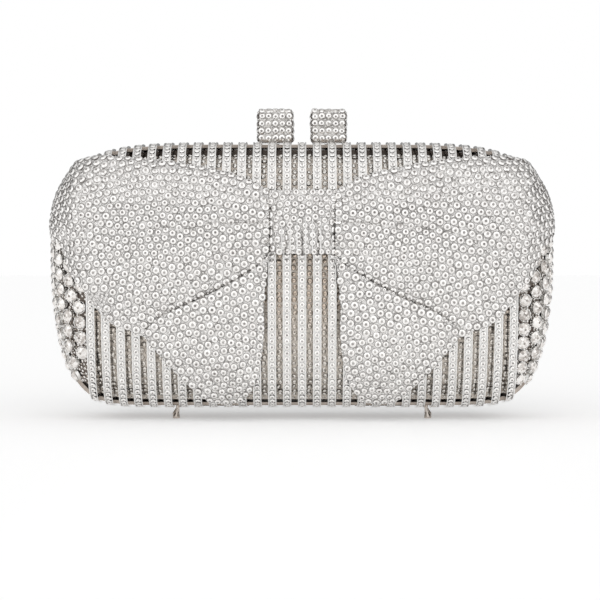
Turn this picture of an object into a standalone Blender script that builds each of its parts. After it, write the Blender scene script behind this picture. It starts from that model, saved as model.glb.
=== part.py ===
"""Hard evening clutch: two crystal-set half shells hinged along the bottom, with a bow on the front
half and a pinch clasp of two blocks on top.

Metres, +Z up. The front faces -Y. Every solid is worked out with the plane where the halves meet at
y = 0, and each half then stands parting_y further back, so that the bow and the back face lie even
about the origin.
"""

import math

import bmesh
import bpy
from mathutils import Matrix, Vector

# Body: a pillow shape, flat in the middle and rounded towards the plane where the halves meet
body_width = 0.1955
body_height = 0.104
half_depth = 0.027
widest_height_share = 0.60
top_corner_power = 6.5
bottom_corner_power = 12.5
outline_power = 2.42
face_power = 4.5
foot_height = 0.0042

# Clearances
seat_gap = 0.0003
facet_allowance = 0.0006
cut_overrun = 0.002

# Ribs and the band that joins them along the edge of each half
rib_count = 29
rib_row_share = 0.8233
rib_width_share = 0.556
rib_depth = 0.0040
rib_end_depth = 0.0016
rib_end_setback = 0.0034
rib_thin_length = 0.0028
rib_thickening_length = 0.0025
rib_depth_shares = (0.52, 0.72, 0.87, 0.955)
band_step = 0.0012
band_thickness = 0.0012
band_width = 0.0080
band_turns = 48

# Rim frames, which meet each other and carry the hinges and the clasp
rim_thickness = 0.0028
rim_width = 0.0040

# Crystal-set backing pans behind the ribs, and the lining trays inside them
pan_edge_setback = 0.0110
pan_thickness = 0.0008
lining_thickness = 0.0008
lining_edge_setback = 0.0005
dish_depth_shares = (0.45, 0.74, 0.92)
dish_turns = 32

# Side galleries that carry the large crystals
gallery_step = 0.0022
gallery_thickness = 0.0016
gallery_tip_width = 0.0025
gallery_rows = 12
gallery_depth_shares = (0, 0.38, 0.68, 0.88, 1)

# Bow
bow_lift = 0.0008
bow_bend_lift = 0.0011
bow_side_drop = 0.0020
bow_side_drop_setback = 0.0022
bow_side_drop_length = 0.0080
bow_cast = 0.200
bow_piece_gap = 0.0004
bow_steps = 10
loop_rows = 15
loop_edge_thickness = 0.0010
loop_puff = 0.0028
loop_fold_height = 0.0008
loop_fold_count = 3
tail_edge_thickness = 0.0010
tail_puff = 0.0014
tail_rows = 8
knot_half_width = 0.0118
knot_top = 0.0884
knot_bottom = 0.0645
knot_rise = 0.0062
knot_edge_thickness = 0.0026
knot_pleat_depth = 0.0006
knot_pleats = 4
knot_rows = 6
knot_columns = 16

# Hinges
hinge_centre_x = 0.0300
hinge_barrel_radius = 0.0012
hinge_pin_radius = 0.0004
hinge_pin_clearance = 0.00015
hinge_knuckle_length = 0.0058
hinge_leaf_length = 0.0036
hinge_leaf_thickness = 0.0006
hinge_round_steps = 12

# Feet, each in a gap between two ribs
foot_rib_count = 8.5
foot_setback = 0.0065
foot_base_radius = 0.00145
foot_neck_radius = 0.00065
foot_lean = 0.0006
foot_pad_height = 0.0007
foot_waist_height = 0.0026
foot_waist_radius = 0.0008
foot_round_steps = 12

# Clasp
block_width = 0.0148
block_height = 0.0136
block_thickness = 0.0080
block_gap = 0.0062
block_corner_radius = 0.0014
block_corner_steps = 4
post_width = 0.0030
post_thickness = 0.0016
post_setback = 0.0020
slider_travel = 0.0040
slider_thickness = 0.0020
slider_depth = 0.0030
slider_left = -0.0090
slider_right_head = 0.0025
guide_thickness = 0.0008
guide_length = 0.0055
guide_setback = 0.0080
spring_radius = 0.0007
spring_wire_radius = 0.0002
spring_turns = 5
spring_turn_steps = 8
spring_length = 0.0066
keeper_thickness = 0.0010
keeper_width = 0.0030
keeper_hook_height = 0.0012
keeper_foot_front = 0.0036
keeper_foot_back = 0.0008

# Places and levels that follow from the sizes above
half_width = body_width / 2
rib_pitch = rib_row_share * body_width / (rib_count - 1)
rib_width = rib_width_share * rib_pitch
centre_z = foot_height + body_height / 2
widest_z = foot_height + widest_height_share * body_height
top_reach = (1 - widest_height_share) * body_height
bottom_reach = widest_height_share * body_height
body_top = foot_height + body_height
parting_y = knot_rise / 2
face_y = seat_gap / 2
band_outer = -band_step
band_inner = band_outer - band_thickness
hinge_z = foot_height + hinge_barrel_radius
hinge_half_length = 1.5 * hinge_knuckle_length + seat_gap
leaf_front = hinge_barrel_radius + seat_gap
leaf_bottom = foot_height + rib_end_depth + seat_gap
leaf_top = leaf_bottom + hinge_leaf_thickness
rim_outer = foot_height - leaf_top - seat_gap
last_rib_edge = (rib_count - 1) / 2 * rib_pitch + rib_width / 2
rim_inner = rim_outer - rim_thickness
pan_outer = -(rib_depth + seat_gap + facet_allowance)
pan_inner = pan_outer - pan_thickness
lining_outer = min(pan_inner, rim_inner) - seat_gap
lining_inner = lining_outer - lining_thickness
block_x = (block_width + block_gap) / 2
block_bottom = body_top + seat_gap
slider_top = body_top + rim_inner - seat_gap
slider_bottom = slider_top - slider_thickness
slider_near = post_setback - post_thickness / 2
slider_far = slider_near + slider_depth
slider_right = block_x + post_width / 2 + slider_right_head
keeper_top = slider_bottom - seat_gap
keeper_bottom = keeper_top - keeper_thickness
guide_near = max(slider_far, face_y + rim_width) + seat_gap
guide_far = guide_near + guide_thickness
guide_bottom = slider_bottom - seat_gap - guide_thickness
guide_top = body_top + (rim_outer + rim_inner) / 2
spring_left = slider_left - seat_gap - spring_length
track_left = spring_left - seat_gap - guide_thickness
track_right = -guide_setback + seat_gap
clasp_room_end = max(-track_left, slider_right) + cut_overrun


# The pillow shape
def power_at(rise):
    """Corner power at a height given as a share of the reach, -1 at the bottom and 1 at the top."""
    middle = (top_corner_power + bottom_corner_power) / 2
    return middle + (top_corner_power - bottom_corner_power) / 2 * rise


def reach_at(z, offset):
    return (top_reach if z >= widest_z else bottom_reach) + offset


def surface_depth(x, z, offset):
    """How far the shell, moved out by offset, stands in front of the parting plane at this place."""
    rise = max(-1.0, min(1.0, (z - widest_z) / reach_at(z, offset)))
    across = min(1.0, abs(x) / (half_width + offset))
    fullness = across ** power_at(rise) + abs(rise) ** outline_power
    return (half_depth + offset) * max(0.0, 1 - fullness) ** (1 / face_power)


def surface_normal(x, z):
    """Outward direction of the shell, from its slope across, up and out."""
    depth = max(surface_depth(x, z, 0), seat_gap)
    reach = reach_at(z, 0)
    rise = max(-1.0, min(1.0, (z - widest_z) / reach))
    power = power_at(rise)
    slope_x = power * (abs(x) / half_width) ** (power - 1) / half_width
    slope_z = outline_power * abs(rise) ** (outline_power - 1) / reach
    slope_y = face_power * (depth / half_depth) ** (face_power - 1) / half_depth
    return Vector((math.copysign(slope_x, x), -slope_y, math.copysign(slope_z, rise))).normalized()


def ring_point(turn, depth, offset):
    """Point of the shell at a given depth, round the outline by an angle from the +X side."""
    level = 1 - (depth / (half_depth + offset)) ** face_power
    rise = math.copysign((level * math.sin(turn) ** 2) ** (1 / outline_power), math.sin(turn))
    across = (level * math.cos(turn) ** 2) ** (1 / power_at(rise))
    x = math.copysign(across * (half_width + offset), math.cos(turn))
    z = widest_z + rise * ((top_reach if rise > 0 else bottom_reach) + offset)
    return Vector((x, -depth, z))


def last_true(low, high, test):
    """Highest value between low, where test holds, and high, where it may not."""
    for _ in range(32):
        middle = (low + high) / 2
        if test(middle):
            low = middle
        else:
            high = middle
    return low


def edge_z(x, depth, offset, way):
    """Height where the shell at this x has come back to the given depth, above or below the middle."""
    reach = (top_reach if way > 0 else bottom_reach) + offset
    share = last_true(0.0, 1.0, lambda s: surface_depth(x, widest_z + way * s * reach, offset) > depth)
    return widest_z + way * share * reach


def edge_x(z, depth, offset):
    """Half width of the shell at height z where it has come back to the given depth."""
    share = last_true(0.0, 1.0, lambda s: surface_depth(s * (half_width + offset), z, offset) > depth)
    return share * (half_width + offset)


def smooth_share(value, start, length):
    """0 before start, 1 after start plus length, and an even curve between."""
    share = max(0.0, min(1.0, (value - start) / length))
    return share * share * (3 - 2 * share)


# Scene, materials and nodes
def make_material(name, colour, roughness, metallic):
    material = bpy.data.materials.new(name)
    material.use_nodes = True
    shader = material.node_tree.nodes["Principled BSDF"]
    shader.inputs["Base Color"].default_value = (*colour, 1.0)
    shader.inputs["Roughness"].default_value = roughness
    shader.inputs["Metallic"].default_value = metallic
    material.diffuse_color = (*colour, 1.0)
    return material


def make_carrier(name, pivot):
    """Empty that carries the pieces of one moving body and stands on that body's joint axis."""
    carrier = bpy.data.objects.new(name, None)
    bpy.context.scene.collection.objects.link(carrier)
    carrier.location = Vector(pivot) + Vector((0, parting_y, 0))
    carrier["pivot"] = pivot
    return carrier


def add_piece(name, bm, carrier, material=None, smooth=False):
    """Closes a bmesh into an object on its carrier."""
    bmesh.ops.recalc_face_normals(bm, faces=bm.faces)
    mesh = bpy.data.meshes.new(name)
    bm.to_mesh(mesh)
    bm.free()
    if material:
        mesh.materials.append(material)
    if smooth:
        mesh.shade_smooth()
        mesh.set_sharp_from_angle(angle=math.radians(40))
    piece = bpy.data.objects.new(name, mesh)
    bpy.context.scene.collection.objects.link(piece)
    piece.parent = carrier
    piece.location = -Vector(carrier["pivot"])
    return piece


def combine(target, bm, operation):
    """Adds or cuts a helper shape, which is not a piece itself."""
    helper = add_piece(f"{target.name}_{operation.lower()}_{len(target.modifiers)}", bm, target.parent)
    helper.hide_render = True
    helper.display_type = "WIRE"
    modifier = target.modifiers.new(helper.name, "BOOLEAN")
    modifier.operation = operation
    modifier.solver = "EXACT"
    modifier.object = helper


def for_half(bm, back):
    """Shapes are worked out for the front half. The back half has their mirror image."""
    if back:
        bmesh.ops.transform(bm, matrix=Matrix.Scale(-1, 4, (0, 1, 0)), verts=bm.verts)
    return bm


# Basic shapes
def box_into(bm, low, high):
    size = Vector(high) - Vector(low)
    middle = (Vector(high) + Vector(low)) / 2
    bmesh.ops.create_cube(bm, size=1, matrix=Matrix.Translation(middle) @ Matrix.Diagonal((*size, 1)))


def boxes(*corners):
    bm = bmesh.new()
    for low, high in corners:
        box_into(bm, low, high)
    return bm


def skin_into(bm, outer, inner, closed=False):
    """Solid between two grids of points. closed joins the last column to the first."""
    rows, columns = len(outer), len(outer[0])
    out, back = [[[bm.verts.new(p) for p in row] for row in grid] for grid in (outer, inner)]
    for j in range(columns if closed else columns - 1):
        k = (j + 1) % columns
        for grid in (out, back):
            for i in range(rows - 1):
                bm.faces.new((grid[i][j], grid[i][k], grid[i + 1][k], grid[i + 1][j]))
        for i in (0, rows - 1):
            bm.faces.new((out[i][j], out[i][k], back[i][k], back[i][j]))
    if not closed:
        for i in range(rows - 1):
            for j in (0, columns - 1):
                bm.faces.new((out[i][j], out[i + 1][j], back[i + 1][j], back[i][j]))


def skin(outer, inner, closed=False):
    bm = bmesh.new()
    skin_into(bm, outer, inner, closed)
    return bm


def turn_angles(count):
    return [2 * math.pi * (step + 0.5) / count for step in range(count)]


def band_ring(outer, inner, near_depth, far_depth):
    """Ring that follows the outline between two depths, with its walls at two offsets."""
    angles = turn_angles(band_turns)
    grids = [[[ring_point(t, d, offset) for t in angles] for d in (near_depth, far_depth)]
             for offset in (outer, inner)]
    return skin(*grids, closed=True)


def dish(outer, inner, edge_depth):
    """Shell with an open mouth, from its edge to the middle of the face."""
    bm = bmesh.new()
    angles = turn_angles(dish_turns)
    edges = []
    for offset in (outer, inner):
        deepest = half_depth + offset
        depths = [edge_depth] + [edge_depth + s * (deepest - edge_depth) for s in dish_depth_shares]
        rings = [[bm.verts.new(ring_point(t, d, offset)) for t in angles] for d in depths]
        middle = bm.verts.new((0, -deepest, widest_z))
        for j in range(dish_turns):
            k = (j + 1) % dish_turns
            for near, far in zip(rings, rings[1:]):
                bm.faces.new((near[j], near[k], far[k], far[j]))
            bm.faces.new((rings[-1][j], rings[-1][k], middle))
        edges.append(rings[0])
    for j in range(dish_turns):
        k = (j + 1) % dish_turns
        bm.faces.new((edges[0][j], edges[0][k], edges[1][k], edges[1][j]))
    return bm


def prism(outline, low, high, place):
    """Straight prism over a closed outline. place turns (level, a, b) into a point."""
    bm = bmesh.new()
    ends = [[bm.verts.new(place(level, a, b)) for a, b in outline] for level in (low, high)]
    bm.faces.new(ends[0])
    bm.faces.new(ends[1])
    for j in range(len(outline)):
        k = (j + 1) % len(outline)
        bm.faces.new((ends[0][j], ends[0][k], ends[1][k], ends[1][j]))
    return bm


def along_x(level, a, b):
    return (level, a, b)


def along_y(level, a, b):
    return (a, level, b)


def rod(centre_y, centre_z_of_rod, radius, low, high):
    """Round rod along X."""
    outline = [(centre_y + radius * math.cos(t), centre_z_of_rod + radius * math.sin(t))
               for t in turn_angles(hinge_round_steps)]
    return prism(outline, low, high, along_x)


# Half shells
def rib_lines(x):
    """Outer and inner edge line of a rib at this x, from its top end over the face to its bottom."""
    thin_end = rib_end_setback + rib_thin_length
    thick_start = thin_end + rib_thickening_length
    deep_out = surface_depth(x, widest_z, 0)
    deep_in = surface_depth(x, widest_z, -rib_depth)
    depths = [rib_end_setback, thin_end, thick_start] + [s * deep_out for s in rib_depth_shares]
    outer, inner = [], []
    for way in (1, -1):
        outer_side, inner_side = [], []
        for depth in depths:
            grown = smooth_share(depth, thin_end, rib_thickening_length)
            offset = -rib_end_depth - grown * (rib_depth - rib_end_depth)
            share = max(0.0, (depth - thick_start) / (deep_out - thick_start))
            inner_depth = depth - share * (deep_out - deep_in)
            outer_side.append(Vector((x, -depth, edge_z(x, depth, 0, way))))
            inner_side.append(Vector((x, -inner_depth, edge_z(x, inner_depth, offset, way))))
        if way > 0:
            outer_side.append(Vector((x, -deep_out, widest_z)))
            inner_side.append(Vector((x, -deep_in, widest_z)))
            outer, inner = outer_side, inner_side
        else:
            outer += outer_side[::-1]
            inner += inner_side[::-1]
    return outer, inner


def ribs():
    bm = bmesh.new()
    for index in range(rib_count):
        middle = (index - (rib_count - 1) / 2) * rib_pitch
        left, right = rib_lines(middle - rib_width / 2), rib_lines(middle + rib_width / 2)
        outer = [list(pair) for pair in zip(left[0], right[0])]
        inner = [list(pair) for pair in zip(left[1], right[1])]
        skin_into(bm, outer, inner)
    return bm


def hinge_pocket(way):
    """Room for a hinge in the band: the barrel's, and the leaf's behind a thin skin."""
    reach = hinge_half_length + seat_gap
    low, high = way * hinge_centre_x - reach, way * hinge_centre_x + reach
    barrel_y = hinge_barrel_radius + seat_gap
    leaf_y = leaf_front + hinge_leaf_length + seat_gap
    skin_top = leaf_bottom - seat_gap / 2
    outline = (
        (cut_overrun, foot_height - cut_overrun),
        (-barrel_y, foot_height - cut_overrun),
        (-barrel_y, skin_top),
        (-leaf_y, skin_top),
        (-leaf_y, leaf_top + seat_gap),
        (cut_overrun, leaf_top + seat_gap),
    )
    return prism(outline, low, high, along_x)


def clasp_slots():
    """Slots in the top of the back half for the fixed post and for the moving one."""
    near, far = post_setback - post_thickness / 2 - seat_gap, post_setback + post_thickness / 2 + seat_gap
    low, high = body_top + rim_inner - cut_overrun, body_top + cut_overrun
    half = post_width / 2 + seat_gap
    return boxes(
        ((-block_x - half, near, low), (-block_x + half, far, high)),
        ((block_x - slider_travel - half, near, low), (block_x + half, far, high)),
    )


def add_cage(name, carrier, material, back):
    """Band and ribs of one half, cast as one piece."""
    cage = add_piece(name, for_half(band_ring(band_outer, band_inner, face_y, band_width), back),
                     carrier, material)
    combine(cage, for_half(ribs(), back), "UNION")
    for way in (-1, 1):
        combine(cage, for_half(hinge_pocket(way), back), "DIFFERENCE")
    if back:
        combine(cage, clasp_slots(), "DIFFERENCE")
    triangles = cage.modifiers.new("triangles", "TRIANGULATE")
    triangles.ngon_method = "BEAUTY"
    return cage


def add_rim(name, carrier, material, back):
    rim = add_piece(name, for_half(band_ring(rim_outer, rim_inner, face_y, face_y + rim_width), back),
                    carrier, material)
    if back:
        combine(rim, clasp_slots(), "DIFFERENCE")
    return rim


def add_pan(name, carrier, material, back):
    return add_piece(name, for_half(dish(pan_outer, pan_inner, pan_edge_setback), back), carrier, material)


def add_lining(name, carrier, material, back):
    """Lining tray, open at the top where the clasp works."""
    lining = add_piece(name, for_half(dish(lining_outer, lining_inner, lining_edge_setback), back),
                       carrier, material)
    room = boxes((
        (-clasp_room_end, -guide_far - seat_gap, keeper_bottom - seat_gap),
        (clasp_room_end, cut_overrun, body_top),
    ))
    combine(lining, for_half(room, back), "DIFFERENCE")
    return lining


def add_gallery(name, carrier, material, back, way):
    """Curved side plate between the last rib and the band, which carries the large crystals."""
    inner_x = last_rib_edge + seat_gap
    depth = band_width + seat_gap
    inner = -gallery_step - gallery_thickness
    ends = []
    for up in (1, -1):
        reach = top_reach if up > 0 else bottom_reach
        wide = inner_x + gallery_tip_width
        share = last_true(0.0, 1.0, lambda s: edge_x(widest_z + up * s * reach, depth, inner) > wide)
        ends.append(widest_z + up * share * reach)
    grids = []
    for offset in (-gallery_step, inner):
        grid = []
        for row in range(gallery_rows + 1):
            z = ends[0] + (ends[1] - ends[0]) * (1 - math.cos(math.pi * row / gallery_rows)) / 2
            rise = surface_depth(inner_x, z, offset) - depth
            depths = [depth + share * rise for share in gallery_depth_shares]
            line = [Vector((way * edge_x(z, d, offset), -d, z)) for d in depths[:-1]]
            line.append(Vector((way * inner_x, -depths[-1], z)))
            grid.append(line)
        grids.append(grid)
    return add_piece(name, for_half(skin(*grids), back), carrier, material)


# Bow: places on the flat front, as shares of the half width and of the half height from the middle.
# They are cast on the shell from a point behind it, so that those past the outline wrap round its side.
crease_shares = (
    (0.172, 0.073), (0.252, -0.021), (0.347, -0.119), (0.462, -0.217), (0.542, -0.287), (0.596, -0.369),
    (0.612, -0.452),
)
loop_top_shares = ((0.230, 0.712), (0.345, 0.775), (0.500, 0.828), (0.680, 0.870), (0.836, 0.886))
loop_end_shares = (
    (0.612, -0.452), (0.664, -0.400), (0.732, -0.362), (0.797, -0.247), (0.849, -0.105), (0.900, -0.005),
    (0.934, 0.095), (0.962, 0.210), (1.030, 0.275), (1.085, 0.330), (1.105, 0.430), (1.100, 0.560),
    (1.075, 0.690), (1.015, 0.795), (0.930, 0.860), (0.836, 0.886),
)
tail_inner_shares = ((0.149, -0.181), (0.149, -0.398), (0.166, -0.662), (0.205, -0.859), (0.252, -0.966))
tail_outer_shares = ((0.527, -0.663), (0.454, -0.821), (0.384, -0.960))
tail_end_shares = ((0.252, -0.966), (0.318, -0.982), (0.384, -0.960))


def front_place(shares):
    return Vector((shares[0] * half_width, centre_z + shares[1] * body_height / 2))


def along(points, share):
    """Place on a chain of points, with an even share for each stretch."""
    position = share * (len(points) - 1)
    index = min(int(position), len(points) - 2)
    return points[index].lerp(points[index + 1], position - index)


def patch_place(sides, u, v):
    """Place in a patch with four sides: start and end run up with v, bottom and top run out with u."""
    bottom, top, start, end = sides
    across = along(bottom, u).lerp(along(top, u), v)
    up = along(start, v).lerp(along(end, v), u)
    corners = bottom[0].lerp(bottom[-1], u).lerp(top[0].lerp(top[-1], u), v)
    return across + up - corners


def cast_on_shell(place):
    """Point of the shell behind a place on the flat front, no nearer the parting plane than a rib's end."""
    source = Vector((0, bow_cast, widest_z))
    target = Vector((place.x, -half_depth, place.y))
    nearest = (bow_cast + rib_end_setback) / (bow_cast + half_depth)

    def inside(share, aim):
        point = source.lerp(aim, share)
        return -point.y < surface_depth(point.x, point.z, 0)

    middle = Vector((0, -half_depth, widest_z))
    kept = last_true(0.0, 1.0, lambda s: inside(nearest, middle.lerp(target, s)))
    aim = middle.lerp(target, kept)
    return source.lerp(aim, last_true(nearest, 1.0, lambda s: inside(s, aim)))


def sheet_on_shell(sides, rows, way, thickness_at):
    """Thick sheet that lies on the ribs over a patch, and stands further off where the ribs bend away."""
    outer, inner = [], []
    for column in range(bow_steps + 1):
        u = column / bow_steps
        outer_line, inner_line = [], []
        for row in range(rows + 1):
            v = row / rows
            foot = cast_on_shell(patch_place(sides, u, v))
            normal = surface_normal(foot.x, foot.z)
            beside = smooth_share(foot.x, last_rib_edge + bow_side_drop_setback, bow_side_drop_length)
            lift = bow_lift + bow_bend_lift * (1 + foot.y / half_depth) - bow_side_drop * beside
            low, high = foot + normal * lift, foot + normal * (lift + thickness_at(u, v))
            outer_line.append(Vector((way * high.x, high.y, high.z)))
            inner_line.append(Vector((way * low.x, low.y, low.z)))
        outer.append(outer_line)
        inner.append(inner_line)
    return skin(outer, inner)


def knot_side(z):
    return Vector((knot_half_width + bow_piece_gap, z))


def crease(drop):
    """Line where a loop lies over its tail, lowered by drop."""
    points = [knot_side(knot_bottom)] + [front_place(s) for s in crease_shares]
    return [p - Vector((0, drop)) for p in points]


def loop_thickness(u, v):
    """Full in the middle, with folds that spread from the knot and fade towards the end."""
    swell = max(0.0, math.sin(math.pi * v)) ** 0.6 * math.sin(math.pi * (0.15 + 0.84 * u)) ** 0.8
    fold = (0.5 + 0.5 * math.cos(2 * math.pi * loop_fold_count * v)) * math.sin(math.pi * v) * (1 - u) ** 0.5
    return loop_edge_thickness + loop_puff * swell + loop_fold_height * fold


def add_loop(name, carrier, material, way):
    top = [knot_side(knot_top)] + [front_place(s) for s in loop_top_shares]
    end = [front_place(s) for s in loop_end_shares]
    bottom = crease(0)
    sides = (bottom, top, [bottom[0], top[0]], end)
    return add_piece(name, sheet_on_shell(sides, loop_rows, way, loop_thickness), carrier, material, True)


def tail_thickness(u, v):
    """Full between the side edges, and thin at the lower end."""
    return tail_edge_thickness + tail_puff * math.sin(math.pi * u) ** 0.7 * (1 - v ** 3)


def add_tail(name, carrier, material, way):
    """Tail that hangs from under a loop. Its v runs down from the crease."""
    top = crease(bow_piece_gap)
    inner = [top[0]] + [front_place(s) for s in tail_inner_shares]
    outer = [top[-1]] + [front_place(s) for s in tail_outer_shares]
    end = [front_place(s) for s in tail_end_shares]
    return add_piece(name, sheet_on_shell((top, end, inner, outer), tail_rows, way, tail_thickness),
                     carrier, material, True)


def add_knot(name, carrier, material):
    """Band round the middle of the bow, pleated below and smooth above."""
    outer, inner = [], []
    for row in range(knot_rows + 1):
        up = row / knot_rows
        z = knot_bottom + (knot_top - knot_bottom) * up
        outer_line, inner_line = [], []
        for column in range(knot_columns + 1):
            across = 2 * column / knot_columns - 1
            x = across * knot_half_width
            under = surface_depth(x, z, 0) + bow_lift
            crown = (1 - abs(across) ** 3) * (0.55 + 0.45 * math.sin(math.pi * up))
            pleat = (1 - up) * (0.5 - 0.5 * math.cos(2 * math.pi * knot_pleats * column / knot_columns))
            swell = knot_rise - bow_lift - knot_edge_thickness
            out = under + knot_edge_thickness + swell * crown - knot_pleat_depth * pleat
            outer_line.append(Vector((x, -min(out, half_depth + knot_rise), z)))
            inner_line.append(Vector((x, -under, z)))
        outer.append(outer_line)
        inner.append(inner_line)
    return add_piece(name, skin(outer, inner), carrier, material, True)


# Hinges and feet
def knuckle_spans(back):
    """The front leaf has the middle knuckle, and the back leaf the two beside it."""
    half = hinge_knuckle_length / 2
    if back:
        return ((-hinge_half_length, -half - seat_gap), (half + seat_gap, hinge_half_length))
    return ((-half, half),)


def add_leaf(name, carrier, material, back, way):
    """Hinge leaf on the outside of the rim, with its knuckles round the pin."""
    middle = way * hinge_centre_x
    low = (middle - hinge_half_length, -leaf_front - hinge_leaf_length, leaf_bottom)
    high = (middle + hinge_half_length, -leaf_front, leaf_top)
    leaf = add_piece(name, for_half(boxes((low, high)), back), carrier, material)
    for start, end in knuckle_spans(back):
        low = (middle + start, -leaf_front - hinge_leaf_thickness, leaf_bottom)
        high = (middle + end, -hinge_barrel_radius / 2, leaf_top)
        combine(leaf, for_half(boxes((low, high)), back), "UNION")
        combine(leaf, rod(0, hinge_z, hinge_barrel_radius, middle + start, middle + end), "UNION")
    bore = rod(0, hinge_z, hinge_pin_radius + hinge_pin_clearance,
               middle - hinge_half_length - cut_overrun, middle + hinge_half_length + cut_overrun)
    combine(leaf, bore, "DIFFERENCE")
    return leaf


def add_pin(name, carrier, material, way):
    middle = way * hinge_centre_x
    pin = rod(0, hinge_z, hinge_pin_radius, middle - hinge_half_length, middle + hinge_half_length)
    return add_piece(name, pin, carrier, material, True)


def add_foot(name, carrier, material, back, way):
    """Flared foot that screws into the band between two ribs. The back feet lean out twice as far."""
    splay = 2 if back else 1
    neck = foot_rib_count * rib_pitch + (splay - 1) * foot_lean
    base = neck + splay * foot_lean
    top = foot_height - band_outer - seat_gap
    profile = (
        (base, foot_base_radius, 0),
        (base, foot_base_radius, foot_pad_height),
        ((base + neck) / 2, foot_waist_radius, foot_waist_height),
        (neck, foot_neck_radius, foot_height),
        (neck, foot_neck_radius, top),
    )
    bm = bmesh.new()
    rings = [[bm.verts.new((way * x + r * math.cos(t), -foot_setback + r * math.sin(t), z))
              for t in turn_angles(foot_round_steps)] for x, r, z in profile]
    for near, far in zip(rings, rings[1:]):
        for j in range(foot_round_steps):
            k = (j + 1) % foot_round_steps
            bm.faces.new((near[j], near[k], far[k], far[j]))
    bm.faces.new(rings[0])
    bm.faces.new(rings[-1])
    return add_piece(name, for_half(bm, back), carrier, material, True)


# Clasp
def add_block(name, carrier, material, way):
    """Crystal-set block that a finger pushes, rounded at its outer top corner."""
    near, far = way * block_gap / 2, way * (block_gap / 2 + block_width)
    top = block_bottom + block_height
    outline = [(near, block_bottom), (near, top)]
    for step in range(block_corner_steps + 1):
        turn = math.pi / 2 * step / block_corner_steps
        outline.append((far - way * block_corner_radius * (1 - math.sin(turn)),
                        top - block_corner_radius * (1 - math.cos(turn))))
    outline.append((far, block_bottom))
    return add_piece(name, prism(outline, -block_thickness / 2, block_thickness / 2, along_y),
                     carrier, material)


def post_box(x, bottom):
    """Flat post under a block, from the given height up to the block."""
    return (
        (x - post_width / 2, post_setback - post_thickness / 2, bottom),
        (x + post_width / 2, post_setback + post_thickness / 2, block_bottom - seat_gap),
    )


def add_fixed_post(name, carrier, material):
    return add_piece(name, boxes(post_box(-block_x, body_top + rim_inner)), carrier, material)


def add_slider(name, carrier, material):
    """Latch bar under the back rim, with the moving post and the notch that lets the keeper go."""
    bar = boxes(((slider_left, slider_near, slider_bottom), (slider_right, slider_far, slider_top)))
    slider = add_piece(name, bar, carrier, material)
    combine(slider, boxes(post_box(block_x, slider_bottom + slider_thickness / 2)), "UNION")
    half = keeper_width / 2 + seat_gap
    notch = boxes((
        (slider_travel - half, slider_near - cut_overrun, slider_bottom - cut_overrun),
        (slider_travel + half, slider_far + cut_overrun, keeper_top + keeper_hook_height + 2 * seat_gap),
    ))
    combine(slider, notch, "DIFFERENCE")
    return slider


def guide_outline():
    """Section of a guide: a shelf under the bar and a wall behind it, up to the rim's edge."""
    return (
        (slider_near, guide_bottom),
        (guide_far, guide_bottom),
        (guide_far, guide_top),
        (guide_near, guide_top),
        (guide_near, guide_bottom + guide_thickness),
        (slider_near, guide_bottom + guide_thickness),
    )


def add_guide(name, carrier, material):
    right = guide_setback + guide_length
    return add_piece(name, prism(guide_outline(), guide_setback, right, along_x), carrier, material)


def add_track(name, carrier, material):
    """Guide with an end wall that the spring pushes against."""
    track = add_piece(name, prism(guide_outline(), track_left, track_right, along_x), carrier, material)
    wall = boxes((
        (track_left, slider_near, guide_bottom + guide_thickness / 2),
        (track_left + guide_thickness, guide_far - guide_thickness / 2, slider_top),
    ))
    combine(track, wall, "UNION")
    return track


def add_spring(name, carrier, material):
    """Coil spring between the track's end wall and the bar."""
    centre_y = (slider_near + slider_far) / 2
    centre_up = (slider_bottom + slider_top) / 2
    steps = spring_turns * spring_turn_steps
    curve = bpy.data.curves.new(name, "CURVE")
    curve.dimensions = "3D"
    curve.bevel_depth = spring_wire_radius
    curve.bevel_resolution = 1
    curve.use_fill_caps = True
    spline = curve.splines.new("POLY")
    spline.points.add(steps)
    start = spring_left + spring_wire_radius
    length = spring_length - 2 * spring_wire_radius
    for step, point in enumerate(spline.points):
        turn = 2 * math.pi * step / spring_turn_steps
        y = centre_y + spring_radius * math.cos(turn)
        z = centre_up + spring_radius * math.sin(turn)
        point.co = (start + length * step / steps, y, z, 1)
    curve.materials.append(material)
    spring = bpy.data.objects.new(name, curve)
    bpy.context.scene.collection.objects.link(spring)
    spring.parent = carrier
    spring.location = -Vector(carrier["pivot"])
    return spring


def add_keeper(name, carrier, material):
    """Sprung hook on the front rim. It reaches under the bar and up behind it."""
    hook_near = slider_far + seat_gap
    outline = (
        (-keeper_foot_front, keeper_bottom),
        (hook_near + keeper_thickness, keeper_bottom),
        (hook_near + keeper_thickness, keeper_top + keeper_hook_height),
        (hook_near, keeper_top + keeper_hook_height),
        (hook_near, keeper_top),
        (-keeper_foot_back, keeper_top),
        (-keeper_foot_back, slider_top),
        (-keeper_foot_front, slider_top),
    )
    return add_piece(name, prism(outline, -keeper_width / 2, keeper_width / 2, along_x), carrier, material)


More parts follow.
